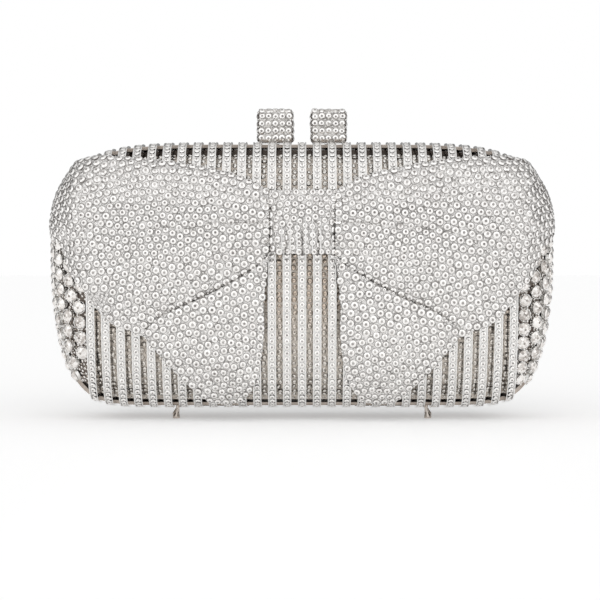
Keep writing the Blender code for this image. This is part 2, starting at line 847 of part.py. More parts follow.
def build():
    for obj in list(bpy.data.objects):
        bpy.data.objects.remove(obj, do_unlink=True)
    silver = make_material("polished_silver", (0.78, 0.77, 0.76), 0.22, 1.0)
    crystal = make_material("crystal_setting", (0.74, 0.74, 0.75), 0.30, 0.6)
    frame = make_material("rim_metal", (0.55, 0.52, 0.49), 0.30, 1.0)
    steel = make_material("spring_steel", (0.50, 0.50, 0.52), 0.35, 1.0)
    cloth = make_material("lining_cloth", (0.42, 0.40, 0.38), 0.90, 0.0)
    halves = {
        "back": make_carrier("back_half", (0, 0, 0)),
        "front": make_carrier("front_half", (0, 0, hinge_z)),
    }
    moving_clasp = make_carrier("moving_clasp", (block_x, post_setback, slider_top))
    for half, carrier in halves.items():
        back = half == "back"
        add_cage(half + "_cage", carrier, silver, back)
        add_rim(half + "_rim", carrier, frame, back)
        add_pan(half + "_pan", carrier, crystal, back)
        add_lining(half + "_lining", carrier, cloth, back)
        for side, way in (("left", -1), ("right", 1)):
            add_gallery(f"{half}_gallery_{side}", carrier, crystal, back, way)
            add_leaf(f"{half}_hinge_leaf_{side}", carrier, frame, back, way)
            add_foot(f"{half}_foot_{side}", carrier, silver, back, way)
    for side, way in (("left", -1), ("right", 1)):
        add_pin(f"hinge_pin_{side}", halves["back"], steel, way)
        add_loop(f"bow_loop_{side}", halves["front"], crystal, way)
        add_tail(f"bow_tail_{side}", halves["front"], crystal, way)
    add_knot("bow_knot", halves["front"], crystal)
    add_keeper("clasp_keeper", halves["front"], steel)
    add_block("clasp_block_left", halves["back"], crystal, -1)
    add_fixed_post("clasp_post", halves["back"], frame)
    add_track("clasp_track", halves["back"], steel)
    add_guide("clasp_guide", halves["back"], steel)
    add_spring("clasp_spring", halves["back"], steel)
    add_block("clasp_block_right", moving_clasp, crystal, 1)
    add_slider("clasp_slider", moving_clasp, steel)


build()
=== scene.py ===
import bpy, math
import numpy as np
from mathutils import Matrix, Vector
from mathutils.bvhtree import BVHTree
from mathutils.kdtree import KDTree


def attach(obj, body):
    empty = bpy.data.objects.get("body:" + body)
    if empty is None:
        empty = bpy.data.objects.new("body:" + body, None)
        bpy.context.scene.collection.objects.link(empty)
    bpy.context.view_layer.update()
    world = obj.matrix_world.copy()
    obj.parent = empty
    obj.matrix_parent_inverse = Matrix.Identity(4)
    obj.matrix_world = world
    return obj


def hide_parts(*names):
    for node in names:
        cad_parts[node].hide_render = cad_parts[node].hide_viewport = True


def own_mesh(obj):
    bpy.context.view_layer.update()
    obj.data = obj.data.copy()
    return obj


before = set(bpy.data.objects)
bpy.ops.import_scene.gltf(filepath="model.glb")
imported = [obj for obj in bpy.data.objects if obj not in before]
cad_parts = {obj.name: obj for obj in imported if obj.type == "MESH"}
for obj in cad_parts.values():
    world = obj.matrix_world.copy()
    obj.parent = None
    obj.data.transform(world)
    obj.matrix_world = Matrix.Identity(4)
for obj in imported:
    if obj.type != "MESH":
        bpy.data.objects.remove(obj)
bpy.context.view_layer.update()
bpy.ops.object.select_all(action="DESELECT")
scene = bpy.context.scene
scene.view_settings.view_transform = "Standard"

# the pillow shape of the body, in metres, the same figures as the CAD part
shell = {
    "halfWidth": 0.09775, "halfDepth": 0.027, "widestZ": 0.0666, "topReach": 0.0416, "bottomReach": 0.0624,
    "centreZ": 0.0562, "halfHeight": 0.052, "top": 0.1082, "partingY": 0.0031,
    "topPower": 6.5, "bottomPower": 12.5, "outlinePower": 2.42, "facePower": 4.5, "leastDepth": 0.0003,
    "lineSteps": 700, "ringSteps": 400,
}
ribRow = {"count": 29, "pitch": 0.0057484, "width": 0.0031961, "endDepth": 0.0034}
lastRibEdge = (ribRow["count"] - 1) / 2 * ribRow["pitch"] + ribRow["width"] / 2
halves = (("front", False), ("back", True))
bothSides = (("left", -1), ("right", 1))


# shell shape: places are x, depth from the parting plane, and z
def powerAt(rise):
    return (shell["topPower"] + shell["bottomPower"] + (shell["topPower"] - shell["bottomPower"]) * rise) / 2


def reachOf(up, offset=0.0):
    # how far the outline reaches above or below its widest level
    return np.where(np.asarray(up) >= 0, shell["topReach"], shell["bottomReach"]) + offset


def depthAt(x, z, offset=0.0):
    x, up = np.asarray(x, float), np.asarray(z, float) - shell["widestZ"]
    rise = np.clip(up / reachOf(up, offset), -1, 1)
    across = np.minimum(1, np.abs(x) / (shell["halfWidth"] + offset))
    full = across ** powerAt(rise) + np.abs(rise) ** shell["outlinePower"]
    return (shell["halfDepth"] + offset) * np.maximum(0, 1 - full) ** (1 / shell["facePower"])


def normalAt(x, z):
    x, up = np.asarray(x, float), np.asarray(z, float) - shell["widestZ"]
    depth = np.maximum(depthAt(x, z), shell["leastDepth"])
    reach = reachOf(up)
    rise = np.clip(up / reach, -1, 1)
    power, half = powerAt(rise), shell["halfWidth"]
    acrossPart = np.sign(x) * power * (np.abs(x) / half) ** (power - 1) / half
    upPart = np.sign(rise) * shell["outlinePower"] * np.abs(rise) ** (shell["outlinePower"] - 1) / reach
    outPart = shell["facePower"] * (depth / shell["halfDepth"]) ** (shell["facePower"] - 1) / shell["halfDepth"]
    return unit(np.stack([acrossPart, outPart, upPart], -1))


def unit(v):
    return v / np.maximum(np.linalg.norm(v, axis=-1, keepdims=True), 1e-12)


def turnToWorld(directions, back=False):
    return np.asarray(directions, float) * np.array([1, 1 if back else -1, 1])


def toWorld(places, back=False):
    return turnToWorld(places, back) + np.array([0, shell["partingY"], 0])


def spacedAlong(line, count=None, step=None, closed=False):
    # places at even steps along a chain of points
    line = np.asarray(line, float)
    if closed:
        line = np.vstack([line, line[:1]])
    lengths = np.concatenate([[0], np.cumsum(np.linalg.norm(np.diff(line, axis=0), axis=1))])
    if count is None:
        count = max(2, int(round(lengths[-1] / step)) + 1)
    marks = np.linspace(0, lengths[-1], count, endpoint=not closed)
    return np.stack([np.interp(marks, lengths, line[:, k]) for k in range(line.shape[1])], -1)


def ribLine(x, offset=0.0, endDepth=None):
    # depth and z along the shell at one x, from the bottom over the face to the top
    endDepth = ribRow["endDepth"] if endDepth is None else endDepth
    steps = shell["lineSteps"]
    share = np.linspace(0.02, 1, steps)
    turn = np.unique(np.concatenate([np.arccos(share ** 2.25), np.linspace(0, math.pi / 2 * 0.999, steps)]))
    parts = []
    for way in (-1, 1):
        rise = np.full_like(turn, 0.5)
        for _ in range(12):   # settles, as the power changes with the height
            room = np.maximum(0, 1 - (abs(x) / (shell["halfWidth"] + offset)) ** powerAt(way * rise))
            rise = (room * np.sin(turn) ** 2) ** (1 / shell["outlinePower"])
        depth = (shell["halfDepth"] + offset) * (room * np.cos(turn) ** 2) ** (1 / shell["facePower"])
        part = np.stack([depth, shell["widestZ"] + way * rise * reachOf(way, offset)], -1)
        kept = part[part[:, 0] > endDepth]
        parts.append(kept[::-1] if way < 0 else kept[1:])
    return np.vstack(parts)


def ringLine(depth, offset, count):
    # closed outline of the shell at one depth, from the middle of the top towards +X
    level = max(0.0, 1 - (depth / (shell["halfDepth"] + offset)) ** shell["facePower"])
    quarters = []
    for way in (1, -1):
        across = np.linspace(0, 1, shell["ringSteps"])
        rise = np.ones_like(across)
        for _ in range(20):
            rise = np.maximum(0, level - across ** powerAt(way * rise)) ** (1 / shell["outlinePower"])
        flat = np.stack([across, rise], -1)[across ** powerAt(way * rise) < level / 2]
        up = across[::-1] * level ** (1 / shell["outlinePower"])
        out = np.maximum(0, level - up ** shell["outlinePower"]) ** (1 / powerAt(way * up))
        steep = np.stack([out, up], -1)[out > (flat[-1, 0] if len(flat) else 0)]
        quarter = np.vstack([flat, steep])
        quarters.append(np.stack([quarter[:, 0] * (shell["halfWidth"] + offset),
                                  shell["widestZ"] + way * quarter[:, 1] * reachOf(way, offset)], -1))
    right = np.vstack([quarters[0], quarters[1][::-1][1:]])
    left = right[::-1][1:-1] * np.array([-1, 1])
    return spacedAlong(np.vstack([right, left]), count, closed=True)


# building meshes
def clearSelection():
    if bpy.context.object and bpy.context.object.mode != "OBJECT":
        bpy.ops.object.mode_set(mode="OBJECT")
    bpy.ops.object.select_all(action="DESELECT")


def pickOnly(piece):
    clearSelection()
    piece.select_set(True)
    bpy.context.view_layer.objects.active = piece


def setFinish(piece, material):
    piece.data.materials.clear()
    piece.data.materials.append(material)


def dress(piece, material, body, smoothAngle=None):
    if material:
        setFinish(piece, material)
    if smoothAngle is not None:
        pickOnly(piece)
        bpy.ops.object.shade_smooth_by_angle(angle=math.radians(smoothAngle))
        piece.select_set(False)
    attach(piece, body)


def editWhole(piece, work):
    # work in edit mode on the whole piece
    pickOnly(piece)
    bpy.ops.object.mode_set(mode="EDIT")
    bpy.ops.mesh.select_all(action="SELECT")
    work()
    bpy.ops.object.mode_set(mode="OBJECT")
    piece.select_set(False)


def editFaces(piece, wanted, work):
    # work in edit mode on just the wanted faces
    pickOnly(piece)
    bpy.ops.object.mode_set(mode="EDIT")
    bpy.ops.mesh.select_mode(type="FACE")
    bpy.ops.mesh.select_all(action="DESELECT")
    bpy.ops.object.mode_set(mode="OBJECT")
    for face in piece.data.polygons:
        face.select = wanted(face)
    bpy.ops.object.mode_set(mode="EDIT")
    work()
    bpy.ops.object.mode_set(mode="OBJECT")


def faceOut():
    bpy.ops.mesh.normals_make_consistent(inside=False)


def weldAndFaceOut():
    bpy.ops.mesh.remove_doubles(threshold=0.000002)
    faceOut()


def gridPiece(name, across, along, outerAt, innerAt=None):
    # a flat grid pulled into shape: outerAt and innerAt turn shares of the grid into places
    clearSelection()
    bpy.ops.mesh.primitive_grid_add(x_subdivisions=across, y_subdivisions=along, size=1)
    piece = bpy.context.object
    piece.name = piece.data.name = name
    if innerAt:
        editWhole(piece, bpy.ops.mesh.extrude_region_move)
    count = len(piece.data.vertices)
    flat = np.empty(count * 3)
    piece.data.vertices.foreach_get("co", flat)
    u, v = np.clip(flat.reshape(-1, 3)[:, :2] + 0.5, 0, 1).T
    places = outerAt(u, v)
    if innerAt:
        lifted = np.empty(count, bool)
        piece.data.vertices.foreach_get("select", lifted)
        places = np.where(lifted[:, None], places, innerAt(u, v))
    piece.data.vertices.foreach_set("co", places.ravel())
    editWhole(piece, weldAndFaceOut)
    return piece


def meshPiece(name, places, faces):
    mesh = bpy.data.meshes.new(name)
    mesh.from_pydata(np.asarray(places).tolist(), [], faces)
    piece = bpy.data.objects.new(name, mesh)
    scene.collection.objects.link(piece)
    return piece


def joinPieces(pieces):
    clearSelection()
    for piece in pieces:
        piece.select_set(True)
    bpy.context.view_layer.objects.active = pieces[0]
    bpy.ops.object.join()
    pieces[0].select_set(False)
    return pieces[0]


# materials: a facet's tone runs from dark to bright, with room for each stone and each facet to differ; on the
# crystals this tone is painted light: painted shade on the girdle, a painted dark reflection on the table, painted
# highlights and glints on the crown
tones = {"stops": (0.0, 0.35, 0.55, 1.0), "girdle": 0.0, "girdleRoom": 0.10, "table": 0.03, "tableRoom": 0.30,
         "metal": 0.5, "byStone": 0.35, "byFacet": 0.65}


def setInputs(node, inputs):
    # each input takes a value or another node's output
    for name, value in inputs.items():
        if isinstance(value, bpy.types.NodeSocket):
            node.id_data.links.new(value, node.inputs[name])
        else:
            node.inputs[name].default_value = value
    return node


def addNode(tree, kind, inputs=None, **settings):
    node = tree.nodes.new("ShaderNode" + kind)
    for name, value in settings.items():
        setattr(node, name, value)
    return setInputs(node, inputs or {})


def combine(tree, operation, first, second):
    return addNode(tree, "Math", {0: first, 1: second}, operation=operation).outputs["Value"]


def newMaterial(name, inputs):
    material = bpy.data.materials.new(name)
    material.use_nodes = True
    tree = material.node_tree
    return material, tree, setInputs(tree.nodes["Principled BSDF"], inputs)


def addRamp(tree, source, stops):
    ramp = addNode(tree, "ValToRGB", {"Fac": source})
    while len(ramp.color_ramp.elements) < len(stops):
        ramp.color_ramp.elements.new(0.5)
    for element, (place, colour) in zip(ramp.color_ramp.elements, stops):
        element.position = place
        element.color = (*colour, 1)
    return ramp.outputs["Color"]


def addPaintedShade(tree, colour, stops):
    # painted shade: a warm, darker tint that changes with the height, standing in for the shade and warm reflection
    # under the bow
    place = addNode(tree, "TexCoord")
    split = addNode(tree, "SeparateXYZ", {"Vector": place.outputs["Object"]})
    height = addNode(tree, "MapRange", {"Value": split.outputs["Z"], "From Max": shell["top"]})
    tint = addRamp(tree, height.outputs["Result"], stops)
    both = addNode(tree, "Mix", {"Factor": 1.0, "A": tint, "B": colour}, data_type="RGBA", blend_type="MULTIPLY")
    return both.outputs["Result"]


def crystalMaterial(name, colours, roughness, metallic=1.0, paintedShade=None):
    material, tree, shader = newMaterial(name, {"Metallic": metallic, "Roughness": roughness})
    tone = addNode(tree, "Attribute", attribute_name="tone")
    colour = addRamp(tree, tone.outputs["Fac"], list(zip(tones["stops"], colours)))
    setInputs(shader, {"Base Color": addPaintedShade(tree, colour, paintedShade) if paintedShade else colour})
    return material


metalLooks = {"detail": 3.0, "darkAt": 0.35, "lightAt": 0.65, "smoothest": 0.75, "roughest": 1.3, "depth": 0.0002}


def metalMaterial(name, dark, light, roughness, grainScale, bump):
    material, tree, shader = newMaterial(name, {"Metallic": 1.0})
    place = addNode(tree, "TexCoord")
    cloud = addNode(tree, "TexNoise", {"Vector": place.outputs["Object"], "Scale": grainScale,
                                       "Detail": metalLooks["detail"]}).outputs["Fac"]
    spread = addNode(tree, "MapRange", {"Value": cloud, "To Min": roughness * metalLooks["smoothest"],
                                        "To Max": roughness * metalLooks["roughest"]})
    height = addNode(tree, "Bump", {"Height": cloud, "Strength": bump, "Distance": metalLooks["depth"]})
    colour = addRamp(tree, cloud, ((metalLooks["darkAt"], dark), (metalLooks["lightAt"], light)))
    setInputs(shader, {"Base Color": colour, "Roughness": spread.outputs["Result"],
                       "Normal": height.outputs["Normal"]})
    return material


clothLooks = {"roughness": 0.55, "sheen": 0.5, "sheenRoughness": 0.35, "threads": 700.0, "unevenness": 0.6,
              "threadDetail": 1.0, "clouds": 60.0, "darkAt": 0.3, "lightAt": 0.7, "bump": 0.25, "depth": 0.0002}


def clothMaterial(name, dark, light):
    material, tree, shader = newMaterial(name, {
        "Roughness": clothLooks["roughness"], "Sheen Weight": clothLooks["sheen"],
        "Sheen Roughness": clothLooks["sheenRoughness"]})
    place = addNode(tree, "TexCoord").outputs["Object"]
    thread = {"Vector": place, "Scale": clothLooks["threads"], "Distortion": clothLooks["unevenness"],
              "Detail": clothLooks["threadDetail"]}
    warp, weft = (addNode(tree, "TexWave", thread, bands_direction=way).outputs["Fac"] for way in ("X", "Z"))
    cloud = addNode(tree, "TexNoise", {"Vector": place, "Scale": clothLooks["clouds"]})
    height = addNode(tree, "Bump", {"Height": combine(tree, "ADD", warp, weft), "Strength": clothLooks["bump"],
                                    "Distance": clothLooks["depth"]})
    colour = addRamp(tree, cloud.outputs["Fac"], ((clothLooks["darkAt"], dark), (clothLooks["lightAt"], light)))
    setInputs(shader, {"Base Color": colour, "Normal": height.outputs["Normal"]})
    return material


clearCrystal = crystalMaterial(
    "clearCrystal", ((0.20, 0.18, 0.17), (0.58, 0.56, 0.54), (0.80, 0.78, 0.76), (1.0, 0.99, 0.97)), 0.16)
sideCrystal = crystalMaterial(
    "sideCrystal", ((0.16, 0.14, 0.12), (0.54, 0.50, 0.47), (0.82, 0.79, 0.76), (1.0, 0.98, 0.96)), 0.16)
# painted shade under the bow: silver high and low, darker and warm on the band of heights just below the knot
underBowShade = ((0.10, (0.97, 0.95, 0.92)), (0.32, (0.92, 0.87, 0.81)), (0.42, (0.84, 0.73, 0.63)),
               (0.60, (0.84, 0.73, 0.63)), (0.78, (1.0, 0.99, 0.97)))
# painted highlight: a brighter copy of the clear crystal for the recess stones, making up for the light they lose
# in the shade between the ribs
recessCrystal = crystalMaterial(
    "recessCrystal", ((0.32, 0.30, 0.285), (0.78, 0.76, 0.73), (0.96, 0.95, 0.93), (1.0, 0.99, 0.98)), 0.20, 0.80,
    underBowShade)
polishedSilver = metalMaterial("polishedSilver", (0.76, 0.75, 0.73), (0.88, 0.87, 0.86), 0.18, 240.0, 0.04)
# painted shade: the dark end of the setting and clasp metals stands in for the shade in the gaps between the stones
settingMetal = metalMaterial("settingMetal", (0.24, 0.23, 0.22), (0.84, 0.825, 0.81), 0.30, 950.0, 0.45)
claspMetal = metalMaterial("claspMetal", (0.28, 0.265, 0.25), (0.80, 0.78, 0.75), 0.28, 950.0, 0.40)
channelMetal = metalMaterial("channelMetal", (0.66, 0.65, 0.635), (0.86, 0.85, 0.835), 0.26, 900.0, 0.15)
bandMetal = metalMaterial("bandMetal", (0.34, 0.29, 0.25), (0.52, 0.46, 0.41), 0.30, 300.0, 0.08)
# painted shade: the pan metal is darker and warmer than silver, for the shade and warm reflection deep in the
# recess; it also colours the beads between the gallery stones
recessMetal = metalMaterial("recessMetal", (0.45, 0.40, 0.35), (0.70, 0.64, 0.575), 0.38, 500.0, 0.15)
# painted shade: near black metal where a real frame is bright, so the slot along the top edge reads as shade; it
# also colours the gallery plates, hinge leaves and clasp post
darkShadeMetal = metalMaterial("darkShadeMetal", (0.10, 0.08, 0.07), (0.17, 0.145, 0.125), 0.34, 300.0, 0.05)
footMetal = metalMaterial("footMetal", (0.52, 0.46, 0.41), (0.70, 0.65, 0.60), 0.18, 300.0, 0.05)
springSteel = metalMaterial("springSteel", (0.42, 0.42, 0.44), (0.56, 0.56, 0.58), 0.32, 800.0, 0.10)
liningCloth = clothMaterial("liningCloth", (0.30, 0.28, 0.26), (0.40, 0.38, 0.35))
print("materials ready")

# camera: level with the middle of the bag and a little above it
cameraSettings = {"distance": 0.575, "elevation": 1.5, "aim": (-0.0008, 0.0031, 0.0463), "widthAtAim": 0.2382,
                  "sensor": 36.0, "nearest": 0.01}
aim = Vector(cameraSettings["aim"])
tilt = math.radians(cameraSettings["elevation"])
cameraPlace = aim + cameraSettings["distance"] * Vector((0, -math.cos(tilt), math.sin(tilt)))
bpy.ops.object.camera_add(location=cameraPlace, rotation=(aim - cameraPlace).to_track_quat("-Z", "Y").to_euler())
camera = bpy.context.object
camera.data.sensor_width = cameraSettings["sensor"]
camera.data.lens = cameraSettings["sensor"] * cameraSettings["distance"] / cameraSettings["widthAtAim"]
camera.data.clip_start = cameraSettings["nearest"]
scene.camera = camera


# stones: one of each cut is modelled, and copied into its settings
def takeShape(model, lowTones):
    # corners, faces and each face's lowest tone of a model, which isn't needed any more
    places = np.array([v.co[:] for v in model.data.vertices])
    faces = [list(p.vertices) for p in model.data.polygons]
    bpy.data.objects.remove(model)
    return places, faces, np.full(len(faces), lowTones)


def modelStone(cut):
    # girdle at z = 0 with radius 1, rings of crown facets up to a table, and a short skirt
    clearSelection()
    (shoulder, height), tiers = cut["tiers"][0], cut["tiers"][1:]
    bpy.ops.mesh.primitive_cone_add(vertices=cut["sides"], radius1=1, radius2=shoulder, depth=height,
                                    location=(0, 0, height / 2))
    stone = bpy.context.object
    bpy.ops.object.transform_apply(location=True, rotation=False, scale=False)
    for radius, level in tiers:
        editFaces(stone, lambda face: face.normal.z > 0.9 and face.center.z > height * 0.99,
                  lambda: bpy.ops.mesh.inset(thickness=shoulder - radius, depth=level - height))
        shoulder, height = radius, level

    def addSkirt():
        bpy.ops.mesh.extrude_region_move(TRANSFORM_OT_translate={"value": (0, 0, -cut["skirt"])})
        bpy.ops.transform.resize(value=(0.85, 0.85, 1))

    if cut["skirt"]:
        editFaces(stone, lambda face: face.normal.z < -0.9, addSkirt)
    # painted light: painted shade on the girdle and skirt, a painted dark reflection on the table, a painted
    # highlight on the crown
    dark = cut["tiers"][0][1] * cut["girdle"]
    return takeShape(stone, [tones["girdle"] if face.center.z < dark or face.normal.z < 0.1
                             else tones["table"] if face.normal.z > 0.99 else cut["crown"]
                             for face in stone.data.polygons])


def modelGrain():
    # bead of metal that holds the stones round it
    clearSelection()
    bpy.ops.mesh.primitive_ico_sphere_add(subdivisions=1, radius=1)
    return takeShape(bpy.context.object, tones["metal"])


roundCut = modelStone({"sides": 9, "tiers": ((0.88, 0.10), (0.66, 0.24), (0.38, 0.34)), "skirt": 0.30,
                       "girdle": 0.6, "crown": 0.56})
ribCut = modelStone({"sides": 8, "tiers": ((0.84, 0.12), (0.40, 0.28)), "skirt": 0, "girdle": 0.0, "crown": 0.56})
smallCut = modelStone({"sides": 6, "tiers": ((0.84, 0.12), (0.40, 0.40)), "skirt": 0, "girdle": 0.6, "crown": 0.56})
largeCut = modelStone({"sides": 11, "tiers": ((0.84, 0.20), (0.54, 0.40), (0.22, 0.50)), "skirt": 0.35,
                       "girdle": 0.0, "crown": 0.16})
grainCut = modelGrain()


def setStones(name, cut, centres, normals, radii, material, body, seed, tiltBy=0.06):
    # copies of one cut on many places, each turned and tilted a little
    rng = np.random.default_rng(seed)
    centres, normals = np.asarray(centres, float), unit(np.asarray(normals, float))
    count = len(centres)
    radii = np.broadcast_to(np.asarray(radii, float), (count,))
    normals = unit(normals + rng.normal(0, tiltBy, (count, 3)))
    guide = np.where(np.abs(normals[:, :1]) < 0.9, np.array([[1.0, 0, 0]]), np.array([[0, 1.0, 0]]))
    first = unit(np.cross(normals, guide))
    second = np.cross(normals, first)
    spin = rng.uniform(0, 2 * math.pi, (count, 1))
    first, second = first * np.cos(spin) + second * np.sin(spin), second * np.cos(spin) - first * np.sin(spin)
    shape, faces, lowTone = cut
    scaled = shape[None] * radii[:, None, None]
    places = (centres[:, None] + scaled[..., :1] * first[:, None] + scaled[..., 1:2] * second[:, None]
              + scaled[..., 2:] * normals[:, None]).reshape(-1, 3)
    step = len(shape)
    allFaces = [[i + k * step for i in face] for k in range(count) for face in faces]
    piece = meshPiece(name, places, allFaces)
    tone = piece.data.attributes.new("tone", "FLOAT", "FACE")
    room = np.where(lowTone == tones["table"], tones["tableRoom"], 1 - lowTone)
    room = np.where(lowTone == tones["girdle"], tones["girdleRoom"], room)
    # painted glints: each stone and each facet gets a random share of its tone
    own = rng.uniform(0, 1, (count, 1)) * tones["byStone"]
    own = own + rng.uniform(0, 1, (count, len(faces))) * tones["byFacet"]
    tone.data.foreach_set("value", (lowTone + room * own).ravel())
    dress(piece, material, body)


def sprinkle(places, quads, count, rng):
    # random places all over a grid, with their directions
    corners = places[np.array(quads)]
    crossed = np.cross(corners[:, 2] - corners[:, 0], corners[:, 3] - corners[:, 1])
    areas = np.linalg.norm(crossed, axis=1) / 2
    chosen = rng.choice(len(quads), count, p=areas / areas.sum())
    shares = rng.uniform(0, 1, (count, 2, 1))
    a, b, c, d = (corners[chosen, k] for k in range(4))
    spots = (a * (1 - shares[:, 0]) + b * shares[:, 0]) * (1 - shares[:, 1]) + \
            (d * (1 - shares[:, 0]) + c * shares[:, 0]) * shares[:, 1]
    return spots, unit(crossed[chosen]), areas.sum()


def borderOf(places, quads):
    edgeCount = {}
    for quad in quads:
        for a, b in zip(quad, quad[1:] + quad[:1]):
            key = (min(a, b), max(a, b))
            edgeCount[key] = edgeCount.get(key, 0) + 1
    return places[sorted({i for key, n in edgeCount.items() if n == 1 for i in key})]


def distanceTo(places, others):
    tree = KDTree(len(others))
    for i, other in enumerate(others):
        tree.insert(Vector(other), i)
    tree.balance()
    return np.array([tree.find(Vector(place))[2] for place in places])


packing = {"fill": 0.98, "edgeGain": 1.4, "area": 0.866, "reach": 1.12, "push": 0.45, "lastPush": 0.25,
           "lastFrom": 0.7, "least": 0.40, "most": 0.52, "smallest": 0.75, "fit": 0.94}


def spreadStones(places, quads, pitch, margin, seed, rounds=60):
    # stones packed: they push each other apart until the surface is full
    rng = np.random.default_rng(seed)
    away = distanceTo(places, borderOf(places, quads))
    kept = [quad for quad in quads if min(away[i] for i in quad) >= margin]
    tree = BVHTree.FromPolygons([Vector(p) for p in places], kept)
    area = sprinkle(places, kept, 1, rng)[2]
    room = area + math.sqrt(area) * packing["edgeGain"] * pitch
    count = int(room / (packing["area"] * pitch * pitch) * packing["fill"])
    spots = sprinkle(places, kept, count, rng)[0]
    normals = np.zeros_like(spots)
    for turn in range(rounds):
        apart = spots[:, None] - spots[None]
        far = np.sqrt((apart ** 2).sum(-1)) + np.eye(count)
        push = np.maximum(0, packing["reach"] * pitch - far) / far
        strength = packing["push" if turn < rounds * packing["lastFrom"] else "lastPush"]
        spots = spots + (apart * push[..., None]).sum(1) * strength
        for i in range(count):
            place, normal, _, _ = tree.find_nearest(Vector(spots[i]))
            spots[i], normals[i] = place, normal
    far = np.sqrt(((spots[:, None] - spots[None]) ** 2).sum(-1)) + np.eye(count)
    return spots, normals, np.clip(far.min(1) / 2, packing["least"] * pitch, packing["most"] * pitch)


def findGaps(places, quads, spots, radii, filler, inside, rng):
    # small stones in the room that the larger stones leave, largest first
    area = sprinkle(places, quads, 1, rng)[2]
    tries, facing, _ = sprinkle(places, quads, int(area / filler["least"] ** 2), rng)
    facing = np.where((facing * (tries - inside)).sum(-1)[:, None] < 0, -facing, facing)
    room = distanceTo(tries, borderOf(places, quads)) + filler["overhang"]
    for spot, radius in zip(spots, radii):
        room = np.minimum(room, np.sqrt(((tries - spot) ** 2).sum(-1)) - radius)
    kept, sizes = [], []
    while room.max() > filler["least"]:
        i = int(np.argmax(room))
        size = min(room[i], filler["most"] * rng.uniform(packing["smallest"], 1.0))
        kept.append(i)
        sizes.append(size)
        room = np.minimum(room, np.sqrt(((tries - tries[i]) ** 2).sum(-1)) - size)
    return np.column_stack([tries[kept], facing[kept], packing["fit"] * np.array(sizes)])


def setFillers(name, found, filler, finishes, body, seed):
    # the larger ones as stones, the smaller ones as beads
    stones = found[:, 6] > filler["beadFrom"]
    for part, cut, finish, chosen in (("Small", smallCut, finishes[0], stones),
                                      ("Beads", grainCut, finishes[1], ~stones)):
        setStones(name + part, cut, found[chosen, :3], found[chosen, 3:6], found[chosen, 6], finish, body, seed,
                  filler["tilt"])
    print(name, stones.sum(), "small stones,", (~stones).sum(), "beads")


def gridQuads(across, along):
    step = along + 1
    return [[i * step + j, (i + 1) * step + j, (i + 1) * step + j + 1, i * step + j + 1]
            for i in range(across) for j in range(along)]


def gridPlaces(across, along, placeAt):
    u, v = np.meshgrid(np.linspace(0, 1, across + 1), np.linspace(0, 1, along + 1), indexing="ij")
    places = placeAt(u.ravel(), v.ravel())
    return places, gridQuads(across, along)


# bow: loops, tails and knot, laid over the ribs
bow = {
    "lift": 0.0008, "bendLift": 0.0011, "sideDrop": 0.0020, "dropSetback": 0.0022, "dropLength": 0.0080,
    "castFrom": 0.200, "gap": 0.0002, "pitch": 0.00325, "margin": 0.00085, "rounds": 24,
    "stoneShare": 0.96, "stoneRise": 0.00062, "behind": (0, 0.2, 0.06),
    "loopEdge": 0.0010, "loopPuff": 0.0028, "foldHeight": 0.0012, "foldCount": 3,
    "tailEdge": 0.0010, "tailPuff": 0.0014,
    "filler": {"least": 0.00027, "most": 0.00085, "beadFrom": 0.00042, "overhang": 0.00042, "tilt": 0.10},
    "crease": ((0.172, 0.073), (0.252, -0.021), (0.347, -0.119), (0.462, -0.217), (0.542, -0.287),
               (0.596, -0.369), (0.612, -0.452)),
    "loopTop": ((0.230, 0.712), (0.345, 0.775), (0.500, 0.828), (0.680, 0.870), (0.836, 0.886)),
    "loopEnd": ((0.612, -0.452), (0.664, -0.400), (0.732, -0.362), (0.797, -0.247), (0.849, -0.105),
                (0.900, -0.005), (0.934, 0.095), (0.962, 0.210), (1.030, 0.275), (1.085, 0.330), (1.105, 0.430),
                (1.100, 0.560), (1.075, 0.690), (1.015, 0.795), (0.930, 0.860), (0.836, 0.886)),
    "tailInner": ((0.149, -0.181), (0.149, -0.398), (0.166, -0.662), (0.205, -0.859), (0.252, -0.966)),
    "tailOuter": ((0.527, -0.663), (0.454, -0.821), (0.384, -0.960)),
    "tailEnd": ((0.252, -0.966), (0.318, -0.982), (0.384, -0.960)),
}
knot = {"halfWidth": 0.0124, "top": 0.0884, "bottom": 0.0645, "rise": 0.0062, "edge": 0.0026,
        "pleatDepth": 0.0010, "pleats": 4, "pitch": 0.00300, "margin": 0.0004, "stoneRise": 0.00055}
pleats = {"across": (-0.0076, -0.0045, -0.0019, 0.0013, 0.0039, 0.0070), "width": 0.00042, "height": 0.00062,
          "start": 0.01, "share": 0.60, "shorter": 0.25, "fadeFrom": 0.7}


def frontPlaces(shares):
    return np.array([(a * shell["halfWidth"], shell["centreZ"] + b * shell["halfHeight"]) for a, b in shares])


def alongChain(points, share):
    # smooth line through the points, with an even share for each stretch
    points = np.asarray(points, float)
    padded = np.vstack([2 * points[0] - points[1], points, 2 * points[-1] - points[-2]])
    place = np.clip(share, 0, 1) * (len(points) - 1)
    index = np.minimum(place.astype(int), len(points) - 2)
    t = (place - index)[:, None]
    a, b, c, d = (padded[index + k] for k in range(4))
    return 0.5 * (2 * b + (c - a) * t + (2 * a - 5 * b + 4 * c - d) * t ** 2 + (3 * b - a - 3 * c + d) * t ** 3)


def patchPlace(sides, u, v):
    bottom, top, start, end = sides
    across = alongChain(bottom, u) * (1 - v[:, None]) + alongChain(top, u) * v[:, None]
    up = alongChain(start, v) * (1 - u[:, None]) + alongChain(end, v) * u[:, None]
    low = bottom[0] * (1 - u[:, None]) + bottom[-1] * u[:, None]
    high = top[0] * (1 - u[:, None]) + top[-1] * u[:, None]
    return across + up - (low * (1 - v[:, None]) + high * v[:, None])


def lastTrue(low, high, test):
    for _ in range(36):
        middle = (low + high) / 2
        kept = test(middle)
        low, high = np.where(kept, middle, low), np.where(kept, high, middle)
    return low


